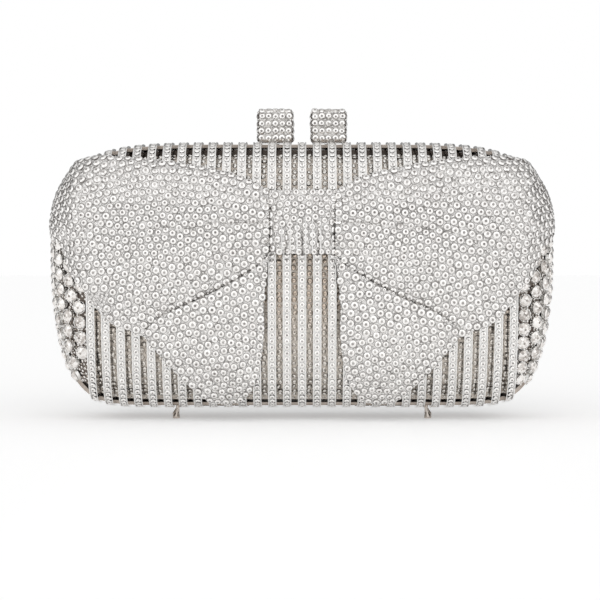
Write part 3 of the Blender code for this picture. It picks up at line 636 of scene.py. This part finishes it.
def castOnShell(flat):
    # shell places behind places on the flat front, no nearer the parting plane than a rib's end
    source = np.array([0, -bow["castFrom"], shell["widestZ"]])
    middle = np.array([0, shell["halfDepth"], shell["widestZ"]])
    target = np.stack([flat[:, 0], np.full(len(flat), shell["halfDepth"]), flat[:, 1]], -1)
    nearest = (bow["castFrom"] + ribRow["endDepth"]) / (bow["castFrom"] + shell["halfDepth"])

    def inside(share, aimAt):
        point = source + share[:, None] * (aimAt - source)
        return point[:, 1] < depthAt(point[:, 0], point[:, 2])

    none = np.zeros(len(flat))
    kept = lastTrue(none, none + 1, lambda s: inside(none + nearest, middle + s[:, None] * (target - middle)))
    aimAt = middle + kept[:, None] * (target - middle)
    share = lastTrue(none + nearest, none + 1, lambda s: inside(s, aimAt))
    return source + share[:, None] * (aimAt - source)


def smoothShare(value, start, length):
    share = np.clip((value - start) / length, 0, 1)
    return share * share * (3 - 2 * share)


def sheetPlaces(sides, u, v, height, way):
    # height stands over the lifted underside
    foot = castOnShell(patchPlace(sides, u, v))
    beside = smoothShare(foot[:, 0], lastRibEdge + bow["dropSetback"], bow["dropLength"])
    lift = bow["lift"] + bow["bendLift"] * (1 - foot[:, 1] / shell["halfDepth"]) - bow["sideDrop"] * beside
    place = toWorld(foot + normalAt(foot[:, 0], foot[:, 2]) * (lift + height)[:, None])
    return place * np.array([way, 1, 1])


def loopThickness(u, v):
    swell = np.maximum(0, np.sin(math.pi * v)) ** 0.6 * np.sin(math.pi * (0.15 + 0.84 * u)) ** 0.8
    fold = np.abs(np.cos(math.pi * bow["foldCount"] * v)) ** 0.8 * np.sin(math.pi * v) ** 0.6 * (1 - u) ** 0.6
    return bow["loopEdge"] + bow["loopPuff"] * swell + bow["foldHeight"] * fold


def tailThickness(u, v):
    return bow["tailEdge"] + bow["tailPuff"] * np.sin(math.pi * u) ** 0.7 * (1 - v ** 3)


def creaseLine(drop):
    start = np.array([[knot["halfWidth"] + bow["gap"], knot["bottom"]]])
    return np.vstack([start, frontPlaces(bow["crease"])]) - np.array([0, drop])


def loopSides():
    top = np.vstack([[[knot["halfWidth"] + bow["gap"], knot["top"]]], frontPlaces(bow["loopTop"])])
    bottom = creaseLine(0)
    return bottom, top, np.array([bottom[0], top[0]]), frontPlaces(bow["loopEnd"])


def tailSides():
    top = creaseLine(bow["gap"])
    inner = np.vstack([top[:1], frontPlaces(bow["tailInner"])])
    outer = np.vstack([top[-1:], frontPlaces(bow["tailOuter"])])
    return top, frontPlaces(bow["tailEnd"]), inner, outer


def knotPlaces(u, v, height):
    across = 2 * u - 1
    x, z = across * knot["halfWidth"], knot["bottom"] + (knot["top"] - knot["bottom"]) * v
    under = depthAt(x, z) + bow["lift"]
    crown = (1 - np.abs(across) ** 3) * (0.55 + 0.45 * np.sin(math.pi * v))
    pleat = smoothShare(1 - v, 0.3, 0.5) * (1 - np.abs(np.sin(math.pi * knot["pleats"] * u)) ** 0.6)
    swell = knot["rise"] - bow["lift"] - knot["edge"]
    out = np.minimum(under + knot["edge"] + swell * crown - knot["pleatDepth"] * pleat,
                     shell["halfDepth"] + knot["rise"])
    depth = under if height is None else out - height
    return toWorld(np.stack([x, depth, z], -1))


def addPleats():
    # thin walls that run up the lower part of the knot, in line with the ribs
    pieces = []
    low = pleats["start"]
    for x in pleats["across"]:
        u = 0.5 + x / (2 * knot["halfWidth"])
        high = pleats["share"] * (1 - pleats["shorter"] * abs(x) / knot["halfWidth"])
        size = pleats["width"] / (2 * knot["halfWidth"])

        def wallAt(a, b, height):
            sunk = pleats["height"] * (1 - np.maximum(0, b - pleats["fadeFrom"]) / (1 - pleats["fadeFrom"]))
            return knotPlaces(u + (a - 0.5) * size, low + (high - low) * b, knot["stoneRise"] - height * sunk)

        pieces.append(gridPiece("bowPleat", 2, 30, lambda a, b: wallAt(a, b, 1.0), lambda a, b: wallAt(a, b, -0.5)))
    dress(joinPieces(pieces), polishedSilver, "front", 40)


bowTrees = []


def addBowSheet(name, node, outerAt, innerAt, grid, settings, seed):
    # setting metal covered with stones, and with small stones and beads between them
    base = gridPiece(name, *grid, outerAt, innerAt)
    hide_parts(node)
    dress(base, settingMetal, "front", 40)
    places, quads = gridPlaces(*grid, outerAt)
    bowTrees.append(BVHTree.FromPolygons([Vector(p) for p in places], quads))
    spots, normals, radii = spreadStones(places, quads, settings["pitch"], settings["margin"], seed, bow["rounds"])
    radii = radii * bow["stoneShare"]
    behind = np.array(bow["behind"])
    facing = np.where((normals * (spots - behind)).sum(-1)[:, None] < 0, -1, 1)
    setStones(name + "Stones", roundCut, spots, normals * facing, radii, clearCrystal, "front", seed)
    found = findGaps(places, quads, spots, radii, bow["filler"], behind, np.random.default_rng(seed))
    setFillers(name, found, bow["filler"], (clearCrystal, polishedSilver), "front", seed)
    print(name, len(spots), "stones")


for side, way in bothSides:
    for part, sides, thickness, grid, seed in (("loop", loopSides(), loopThickness, (64, 52), 11),
                                               ("tail", tailSides(), tailThickness, (40, 40), 21)):
        addBowSheet("bow" + part.capitalize() + side.capitalize(), f"bow_{part}_{side}",
                    lambda u, v: sheetPlaces(sides, u, v, thickness(u, v) - bow["stoneRise"], way),
                    lambda u, v: sheetPlaces(sides, u, v, np.zeros_like(u), way), grid, bow, seed + way)
addBowSheet("bowKnot", "bow_knot", lambda u, v: knotPlaces(u, v, knot["stoneRise"]),
            lambda u, v: knotPlaces(u, v, None), (48, 32), knot, 31)
addPleats()
print("bow done")


def underBow(places, normals, reach):
    hidden = []
    for place, normal in zip(places, normals):
        hidden.append(any(tree.ray_cast(Vector(place), Vector(normal), reach)[0] is not None for tree in bowTrees))
    return np.array(hidden, bool)


# ribs: channels with thin bright walls and a row of stones, and the band that joins them
ribs = {
    "steps": 72, "wallWidth": 0.00034, "floorDepth": 0.00062, "endThickness": 0.0016, "thickness": 0.0040,
    "thinDepth": 0.0062, "thickening": 0.0025, "stoneRadius": 0.00110, "stonePitch": 0.00235,
    "stoneDepth": 0.00040, "edgeShare": 0.03, "edgeDrop": 0.00006, "slope": 0.015, "leanStep": 0.001,
    "mostLean": 0.7, "leanFrom": 0.5, "hiddenReach": 0.010, "tilt": 0.05,
}
band = {"outer": -0.0009, "inner": -0.0024, "near": 0.00015, "far": 0.0080, "turns": 260, "edge": 0.0003}


def centred(count, step):
    return (np.arange(count) - (count - 1) / 2) * step


def ribMiddles():
    return centred(ribRow["count"], ribRow["pitch"])


def outwardAlong(line):
    # outward directions along a line of depths and heights
    run = unit(np.gradient(line, axis=0))
    out = np.stack([run[:, 1], -run[:, 0]], -1)
    return out * np.sign(out[len(out) // 2, 0])


def ribSection(x, count=None, step=None):
    # places and outward directions along the shell at one x
    line = spacedAlong(ribLine(x), count, step)
    return line, outwardAlong(line)


def ribMesh():
    # corners and faces of every rib of a half, and whether each face is the floor of a channel
    places, faces, isFloor = [], [], []
    half, wall, floor = ribRow["width"] / 2, ribs["wallWidth"] / ribRow["width"], ribs["floorDepth"]
    inner, edge, drop = wall + ribs["slope"], ribs["edgeShare"], ribs["edgeDrop"]
    profile = [(0, None), (0, drop), (edge, 0), (wall, 0), (inner, floor),
               (1 - inner, floor), (1 - wall, 0), (1 - edge, 0), (1, drop), (1, None)]
    size = len(profile)
    for middle in ribMiddles():
        leftLine, leftOut = ribSection(middle - half, ribs["steps"] + 1)
        rightLine, rightOut = ribSection(middle + half, ribs["steps"] + 1)
        grown = smoothShare(leftLine[:, 0], ribs["thinDepth"], ribs["thickening"])
        deep = ribs["endThickness"] + grown * (ribs["thickness"] - ribs["endThickness"])
        base = len(places)
        for i in range(ribs["steps"] + 1):
            for across, down in profile:
                sunk = deep[i] if down is None else down
                line = leftLine[i] * (1 - across) + rightLine[i] * across
                out = leftOut[i] * (1 - across) + rightOut[i] * across
                place = line - out * sunk
                places.append((middle - half + across * ribRow["width"], place[0], place[1]))
        for i in range(ribs["steps"]):
            a = base + i * size
            for k in range(size):
                n = (k + 1) % size
                faces.append([a + k, a + n, a + size + n, a + size + k])
                isFloor.append(int(profile[k][1] == floor and profile[n][1] == floor))
        faces.append([base + k for k in range(size)])
        faces.append([base + ribs["steps"] * size + k for k in range(size)][::-1])
        isFloor += [0, 0]
    return np.array(places), faces, isFloor


def closedRing(ring, depth):
    return [(x, depth, z) for x, z in np.vstack([ring, ring[:1]])]


def ringPiece(name, rings, turns, back):
    # a sheet that runs from ring to ring
    table = np.array(rings)

    def placeAt(u, v):
        i = np.round(u * turns).astype(int)
        j = np.round(v * (len(table) - 1)).astype(int)
        return toWorld(table[j, i], back)

    return gridPiece(name, turns, len(table) - 1, placeAt)


def addBand(name, back):
    # rounded bar run round the outline
    near, far, outer, inner, edge = (band[k] for k in ("near", "far", "outer", "inner", "edge"))
    corners = [(near, inner), (near, outer - edge), (near + edge, outer), (far - edge, outer), (far, outer - edge),
               (far, inner + edge), (far - edge, inner), (near, inner)]
    rings = [closedRing(ringLine(depth, offset, band["turns"]), depth) for depth, offset in corners]
    return ringPiece(name, rings, band["turns"], back)


ribPlaces, ribFaces, ribFloors = ribMesh()
for half, back in halves:
    cage = meshPiece(half + "Ribs", toWorld(ribPlaces, back), ribFaces)
    for material in (polishedSilver, channelMetal):
        cage.data.materials.append(material)
    cage.data.polygons.foreach_set("material_index", ribFloors)
    editWhole(cage, faceOut)
    bar = addBand(half + "Band", back)
    bar.data.materials.append(bandMetal)
    cage = joinPieces([cage, bar])
    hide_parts(half + "_cage")
    dress(cage, None, half, 35)
    centres, normals = [], []
    for middle in ribMiddles():
        line, out = ribSection(middle, step=ribs["stonePitch"])
        centres.append(np.column_stack([np.full(len(line), middle), line - out * ribs["stoneDepth"]]))
        step = ribs["leanStep"]
        slope = (depthAt(middle + step, line[:, 1]) - depthAt(middle - step, line[:, 1])) / (2 * step)
        lean = np.clip(-slope, -ribs["mostLean"], ribs["mostLean"]) * (out[:, 0] > ribs["leanFrom"])
        normals.append(np.column_stack([lean, out]))
    centres = toWorld(np.vstack(centres), back)
    normals = unit(turnToWorld(np.vstack(normals), back))
    if not back:
        seen = ~underBow(centres, normals, ribs["hiddenReach"])
        centres, normals = centres[seen], normals[seen]
    setStones(half + "RibStones", ribCut, centres, normals, ribs["stoneRadius"], clearCrystal, half,
              41 + back, ribs["tilt"])
    print(half, "ribs", len(centres), "stones")

# pans: recessed dishes behind the ribs, covered with small stones where the gaps let them show
pan = {"outer": -0.0049, "inner": -0.0057, "edgeDepth": 0.0110, "turns": 200, "rings": 18,
       "stoneRadius": (0.00090, 0.00125), "stonePitch": 0.00250, "jitter": 0.00040, "jitterShares": (1, 0.2, 0.4),
       "halfStrip": 0.0019, "stripLines": 5, "stripPlaces": 91, "stripSpread": 0.55, "stripEnd": 0.0001,
       "hiddenReach": 0.016, "tilt": 0.15,
       "filler": {"least": 0.00046, "most": 0.00080, "beadFrom": 0.00048, "overhang": 0.0, "tilt": 0.10},
       "lip": ((0.0106, 0.0002), (0.0101, 0.0009), (0.0097, 0.0017))}
lining = {"outer": -0.0060, "inner": -0.0068, "edgeDepth": 0.0005, "turns": 200, "rings": 22, "lip": ()}
dishForm = {"ringPower": 0.8, "lipThickness": 0.0006, "lipBlend": 0.02}
insideMiddle = np.array([0, shell["partingY"], 0.06])


def addDish(name, settings, back):
    # outer face from its middle to the edge, then the inner face back to the middle
    table, turns = [], settings["turns"]
    for offset, order in ((settings["outer"], 1), (settings["inner"], -1)):
        deepest = shell["halfDepth"] + offset
        size = (1 - (settings["edgeDepth"] / deepest) ** shell["facePower"]) ** (1 / shell["outlinePower"])
        face = []
        for share in np.linspace(0, 1, settings["rings"] + 1) ** dishForm["ringPower"]:
            depth = deepest * (1 - (share * size) ** shell["outlinePower"]) ** (1 / shell["facePower"])
            ring = ringLine(depth, offset, turns) if share else np.tile([0, shell["widestZ"]], (turns, 1))
            face.append(closedRing(ring, depth))
        for depth, rise in settings["lip"]:
            # the lip stands on the lower half only
            level = depth - (order < 0) * dishForm["lipThickness"]
            low, high = ringLine(level, offset + rise, turns), ringLine(level, offset, turns)
            share = smoothShare(shell["widestZ"] - high[:, 1:], 0, dishForm["lipBlend"])
            face.append(closedRing(low * share + high * (1 - share), level))
        table += face[::order]
    return ringPiece(name, table, turns, back)


def panStrip(gap):
    # lines of places on the outer face of the dish, behind the gap between two ribs
    lines = []
    across = np.linspace(-1, 1, pan["stripLines"]) * pan["halfStrip"]
    for x in gap * (1 - pan["outer"] / pan["stripSpread"]) + across:
        lip = [ribLine(x, pan["outer"] + rise, depth)[0] for depth, rise in pan["lip"]]
        line = np.vstack([lip[::-1], ribLine(x, pan["outer"], pan["edgeDepth"] + pan["stripEnd"])])
        lines.append(np.column_stack([np.full(pan["stripPlaces"], x), spacedAlong(line, pan["stripPlaces"])]))
    return lines


for half, back in halves:
    dish = addDish(half + "Pan", pan, back)
    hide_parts(half + "_pan")
    dress(dish, recessMetal, half, 50)
    # large stones of uneven size down the middle of each strip, and small ones in the room they leave
    rng = np.random.default_rng(55 + back)
    large, found = [], []
    for gap in (ribMiddles()[:-1] + ribMiddles()[1:]) / 2:
        lines = panStrip(gap)
        middle = spacedAlong(lines[len(lines) // 2], None, pan["stonePitch"])[1:]
        normals = turnToWorld(np.column_stack([np.zeros(len(middle)), outwardAlong(middle[:, 1:])]), back)
        middle = middle + rng.uniform(-1, 1, middle.shape) * np.array(pan["jitterShares"]) * pan["jitter"]
        spots, radii = toWorld(middle, back), rng.uniform(*pan["stoneRadius"], len(middle))
        places, quads = toWorld(np.vstack(lines), back), gridQuads(len(lines) - 1, pan["stripPlaces"] - 1)
        if not back:
            shown = ~underBow(spots, normals, pan["hiddenReach"])
            spots, normals, radii = spots[shown], normals[shown], radii[shown]
            corners = places[np.array(quads)]
            ways = unit(np.cross(corners[:, 2] - corners[:, 0], corners[:, 3] - corners[:, 1]))
            ways = ways * np.where(ways[:, 1:2] > 0, -1, 1)
            shown = ~underBow(corners.mean(1), ways, pan["hiddenReach"])
            quads = [quad for quad, kept in zip(quads, shown) if kept]
        large.append(np.column_stack([spots, normals, radii]))
        if quads:
            found.append(findGaps(places, quads, spots, radii, pan["filler"], insideMiddle, rng))
    large, found = np.vstack(large), np.vstack(found)
    setStones(half + "PanStones", roundCut, large[:, :3], large[:, 3:6], large[:, 6], recessCrystal, half, 51,
              pan["tilt"])
    setFillers(half + "Pan", found, pan["filler"], (recessCrystal, recessCrystal), half, 57)
    print(half, "pan", len(large), "stones")

# linings: cloth on a thin tray, cut away where the clasp works
claspRoom = {"halfLength": 0.0190, "depth": 0.0056, "near": 0.0018, "bottom": 0.0987, "height": 0.010}
for half, back in halves:
    cloth = addDish(half + "Lining", lining, back)
    place = toWorld((0, claspRoom["near"], claspRoom["bottom"] + claspRoom["height"] / 2), back)
    bpy.ops.mesh.primitive_cube_add(size=1, location=Vector(place))
    room = bpy.context.object
    room.scale = (2 * claspRoom["halfLength"], 2 * (claspRoom["depth"] - claspRoom["near"]), claspRoom["height"])
    cut = cloth.modifiers.new("claspRoom", "BOOLEAN")
    cut.operation, cut.solver, cut.object = "DIFFERENCE", "EXACT", room
    bpy.context.view_layer.objects.active = cloth
    bpy.ops.object.modifier_apply(modifier=cut.name)
    bpy.data.objects.remove(room)
    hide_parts(half + "_lining")
    dress(cloth, liningCloth, half, 50)
print("pans and linings done")

# side galleries: large stones in round settings on a dark curved plate
gallery = {"step": -0.0022, "pitch": 0.0055, "radius": 0.00246, "margin": 0.0014, "near": 0.0083,
           "tipWidth": 0.0014, "thickness": 0.0016, "stoneLift": 0.0003, "ribGap": 0.0003, "grid": (24, 40),
           "radiusShare": 0.98, "gapShare": 0.9, "liftShare": 0.45, "tilt": 0.05,
           "filler": {"least": 0.00040, "most": 0.00075, "beadFrom": 0.00050, "overhang": 0.0, "tilt": 0.10}}


def galleryPlaces(u, v, offset, way, back):
    # u runs from the band to the last rib, v from the top to the bottom
    innerX = lastRibEdge + gallery["ribGap"]
    ends = []
    for up in (1, -1):
        heights = shell["widestZ"] + up * np.linspace(0, 1, shell["ringSteps"]) * reachOf(up)
        wide = edgeX(heights, gallery["near"], gallery["step"] - gallery["thickness"])
        ends.append(heights[np.flatnonzero(wide > innerX + gallery["tipWidth"])[-1]])
    z = ends[0] + (ends[1] - ends[0]) * (1 - np.cos(math.pi * v)) / 2
    deepest = depthAt(innerX, z, offset)
    depth = gallery["near"] + (deepest - gallery["near"]) * np.sin(u * math.pi / 2)
    x = np.where(u > 0.9999, innerX, np.maximum(innerX, edgeX(z, depth, offset)))
    return toWorld(np.stack([way * x, depth, z], -1), back)


def edgeX(z, depth, offset):
    z = np.asarray(z, float)
    depth = np.broadcast_to(depth, z.shape)
    share = lastTrue(np.zeros(z.shape), np.ones(z.shape),
                     lambda s: depthAt(s * (shell["halfWidth"] + offset), z, offset) > depth)
    return share * (shell["halfWidth"] + offset)


colletForm = {"sides": 20, "radius": 1.04, "height": 0.50, "middle": -0.28, "wall": 0.08,
              "claws": (45, 135, 225, 315), "clawRadius": 0.17, "clawAt": 0.98, "clawHeight": 0.14}


def modelCollet():
    # ring wall round a large stone with claws bent over its edge
    clearSelection()
    bpy.ops.mesh.primitive_cylinder_add(vertices=colletForm["sides"], radius=colletForm["radius"],
                                        depth=colletForm["height"], end_fill_type="NOTHING",
                                        location=(0, 0, colletForm["middle"]))
    ring = bpy.context.object
    bpy.ops.object.transform_apply(location=True, rotation=False, scale=False)
    wall = ring.modifiers.new("wall", "SOLIDIFY")
    wall.thickness, wall.offset = colletForm["wall"], -1
    bpy.ops.object.modifier_apply(modifier=wall.name)
    claws = []
    for turn in colletForm["claws"]:
        x, y = (colletForm["clawAt"] * way(math.radians(turn)) for way in (math.cos, math.sin))
        bpy.ops.mesh.primitive_uv_sphere_add(segments=6, ring_count=4, radius=colletForm["clawRadius"],
                                             location=(x, y, colletForm["clawHeight"]))
        claws.append(bpy.context.object)
        bpy.ops.object.transform_apply(location=True, rotation=False, scale=False)
    return takeShape(joinPieces([ring] + claws), tones["metal"])


colletCut = modelCollet()
for half, back in halves:
    for side, way in bothSides:
        name, extra = half + "Gallery" + side.capitalize(), way + 2 * back
        outerAt = lambda u, v: galleryPlaces(u, v, gallery["step"], way, back)
        plate = gridPiece(name, *gallery["grid"], outerAt,
                          lambda u, v: galleryPlaces(u, v, gallery["step"] - gallery["thickness"], way, back))
        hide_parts(f"{half}_gallery_{side}")
        dress(plate, darkShadeMetal, half, 50)
        places, quads = gridPlaces(*gallery["grid"], outerAt)
        spots, normals, radii = spreadStones(places, quads, gallery["pitch"], gallery["margin"], 61 + extra)
        outward = np.array([way, 1 if back else -1, 0])
        normals = np.where((normals * outward).sum(-1)[:, None] < 0, -normals, normals)
        radii = np.minimum(radii * gallery["radiusShare"], gallery["radius"])
        found = findGaps(places, quads, spots, radii * gallery["gapShare"], gallery["filler"], insideMiddle,
                         np.random.default_rng(75))
        setFillers(name, found, gallery["filler"], (sideCrystal, recessMetal), half, 75)
        spots = spots + normals * (gallery["liftShare"] * radii + gallery["stoneLift"])[:, None]
        setStones(name + "Stones", largeCut, spots, normals, radii, sideCrystal, half, 71 + extra, gallery["tilt"])
        setStones(name + "Settings", colletCut, spots, normals, radii, polishedSilver, half, 81 + extra, 0.0)
        print(name, len(spots), "stones")

# clasp: two blocks set with stones on every side that shows
clasp = {"width": 0.0148, "height": 0.0136, "thickness": 0.0080, "gap": 0.0062, "bottom": 0.1085,
         "inset": 0.00055, "corner": 0.0013, "cornerSteps": 4, "squareShare": 0.6, "stoneRadius": 0.00142,
         "smallest": 0.86, "columns": 5, "columnTrim": 0.0004, "rows": 4, "firstRow": 0.00165, "rowStep": 0.00285,
         "layers": 3, "layerStep": 0.00225, "edgeUp": 0.00215, "edgeIn": 0.0007, "edgeLean": (0.75, 0.66),
         "jitter": 0.00016, "beadRadius": 0.00046}
for side, way, body in (("left", -1, "back"), ("right", 1, "moving_clasp")):
    clearSelection()
    inset = clasp["inset"]
    size = Vector((clasp["width"] - 2 * inset, clasp["thickness"] - 2 * inset, clasp["height"] - inset))
    middle = Vector((way * (clasp["gap"] + clasp["width"]) / 2, shell["partingY"], clasp["bottom"] + size.z / 2))
    bpy.ops.mesh.primitive_cube_add(size=1, location=middle)
    block = bpy.context.object
    block.name = block.data.name = "claspBlock" + side.capitalize()
    block.scale = size
    bpy.ops.object.transform_apply(location=True, rotation=False, scale=True)
    editWhole(block, lambda: bpy.ops.mesh.bevel(offset=clasp["corner"], segments=clasp["cornerSteps"],
                                                affect="EDGES"))
    for corner in block.data.vertices:   # the bottom stays square where it meets its post
        if corner.co.z < clasp["bottom"] + clasp["corner"] * clasp["squareShare"]:
            corner.co.z = clasp["bottom"]
    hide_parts("clasp_block_" + side)
    dress(block, claspMetal, body, 40)
    columns = centred(clasp["columns"], (size.x - clasp["columnTrim"]) / clasp["columns"])
    rows = clasp["bottom"] + clasp["firstRow"] + np.arange(clasp["rows"]) * clasp["rowStep"]
    leanOut, leanUp = clasp["edgeLean"]
    found = []
    for face in (-1, 1):
        for x in columns:
            found += [(x, face * size.y / 2, z, 0, face, 0) for z in rows]
            found.append((x, face * (size.y / 2 - clasp["edgeIn"]), rows[-1] + clasp["edgeUp"],
                          0, face * leanOut, leanUp))
    found += [(face * size.x / 2, y, z, face, 0, 0)
              for face in (-1, 1) for y in centred(clasp["layers"], clasp["layerStep"]) for z in rows]
    found += [(x, 0, clasp["bottom"] + size.z, 0, 0, 1) for x in columns]
    centres, normals = np.split(np.array(found), 2, axis=1)
    centres = centres + (middle.x, middle.y, 0)
    rng = np.random.default_rng(95 + way)
    centres = centres + rng.uniform(-1, 1, centres.shape) * clasp["jitter"]
    radii = clasp["stoneRadius"] * rng.uniform(clasp["smallest"], 1.0, len(centres))
    setStones("claspStones" + side.capitalize(), roundCut, centres, normals, radii, clearCrystal, body, 91 + way)
    between = centred(clasp["columns"] + 1, size.x / clasp["columns"])
    beads = [(middle.x + x, middle.y + face * size.y / 2, z + clasp["rowStep"] / 2)
             for face in (-1, 1) for x in between for z in rows]
    facing = [(0, face, 0) for face in (-1, 1) for _ in range(len(between) * len(rows))]
    setStones("claspBeads" + side.capitalize(), grainCut, beads, facing, clasp["beadRadius"], polishedSilver,
              body, 97)
print("clasp done")

# pieces that keep their CAD shape get their finish
finishes = (
    (darkShadeMetal, ("front_rim", "back_rim", "clasp_post", "front_hinge_leaf_left", "front_hinge_leaf_right",
                "back_hinge_leaf_left", "back_hinge_leaf_right")),
    (springSteel, ("hinge_pin_left", "hinge_pin_right", "clasp_slider", "clasp_track", "clasp_guide",
                   "clasp_spring", "clasp_keeper")),
    (footMetal, ("front_foot_left", "front_foot_right", "back_foot_left", "back_foot_right")),
)
for finish, names in finishes:
    for name in names:
        setFinish(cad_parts[name], finish)
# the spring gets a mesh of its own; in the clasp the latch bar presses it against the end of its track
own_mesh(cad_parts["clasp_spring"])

# stage: white floor that keeps the shadow, and light that is weaker behind the bag and right behind the camera
stage = {"floorSize": 12, "floorColour": 0.84, "floorRoughness": 0.45, "floorShine": 0.04, "lift": 0.33,
         "front": 1.22, "back": 0.30, "frontY": -0.7, "backY": 0.6, "above": 0.86, "aboveFrom": 0.35,
         "aboveTo": 0.95, "dim": 0.60, "dimFrom": 0.82, "dimTo": 0.97}
clearSelection()
bpy.ops.mesh.primitive_plane_add(size=stage["floorSize"], location=(0, 0, 0))
floor = bpy.context.object
floor.name = "floor"
material, tree, shader = newMaterial("whiteFloor", {"Base Color": (stage["floorColour"],) * 3 + (1,),
                                                    "Roughness": stage["floorRoughness"],
                                                    "Specular IOR Level": stage["floorShine"]})
# the floor glows for camera rays, which keeps it evenly white, and for glossy rays, a painted reflection that makes
# the floor look brighter in the bag's lower facets than its light gives
path = addNode(tree, "LightPath")
either = combine(tree, "MAXIMUM", path.outputs["Is Camera Ray"], path.outputs["Is Glossy Ray"])
glow = addNode(tree, "Emission", {"Strength": combine(tree, "MULTIPLY", either, stage["lift"])})
both = addNode(tree, "AddShader", {0: shader.outputs["BSDF"], 1: glow.outputs["Emission"]})
setInputs(tree.nodes["Material Output"], {"Surface": both.outputs["Shader"]})
floor.data.materials.append(material)

world = bpy.data.worlds.new("studio")
scene.world = world
world.use_nodes = True
tree = world.node_tree
place = addNode(tree, "TexCoord")
ways = addNode(tree, "SeparateXYZ", {"Vector": place.outputs["Generated"]})


def lightAlong(axis, start, end, first, last):
    # strength that changes smoothly along one axis
    inputs = {"Value": ways.outputs[axis], "From Min": start, "From Max": end, "To Min": first, "To Max": last}
    return addNode(tree, "MapRange", inputs, interpolation_type="SMOOTHSTEP").outputs["Result"]


dimming = lightAlong("Y", -stage["dimTo"], -stage["dimFrom"], stage["dim"], 1.0)
around = lightAlong("Y", stage["frontY"], stage["backY"], stage["front"], stage["back"])
above = lightAlong("Z", stage["aboveFrom"], stage["aboveTo"], stage["back"], stage["above"])
light = combine(tree, "MULTIPLY", dimming, combine(tree, "MAXIMUM", around, above))
path = addNode(tree, "LightPath")
seen = addNode(tree, "Mix", {"Factor": path.outputs["Is Camera Ray"], "A": light, "B": 1.0})
setInputs(tree.nodes["Background"], {"Color": (1, 1, 1, 1), "Strength": seen.outputs["Result"]})
print("stage ready")
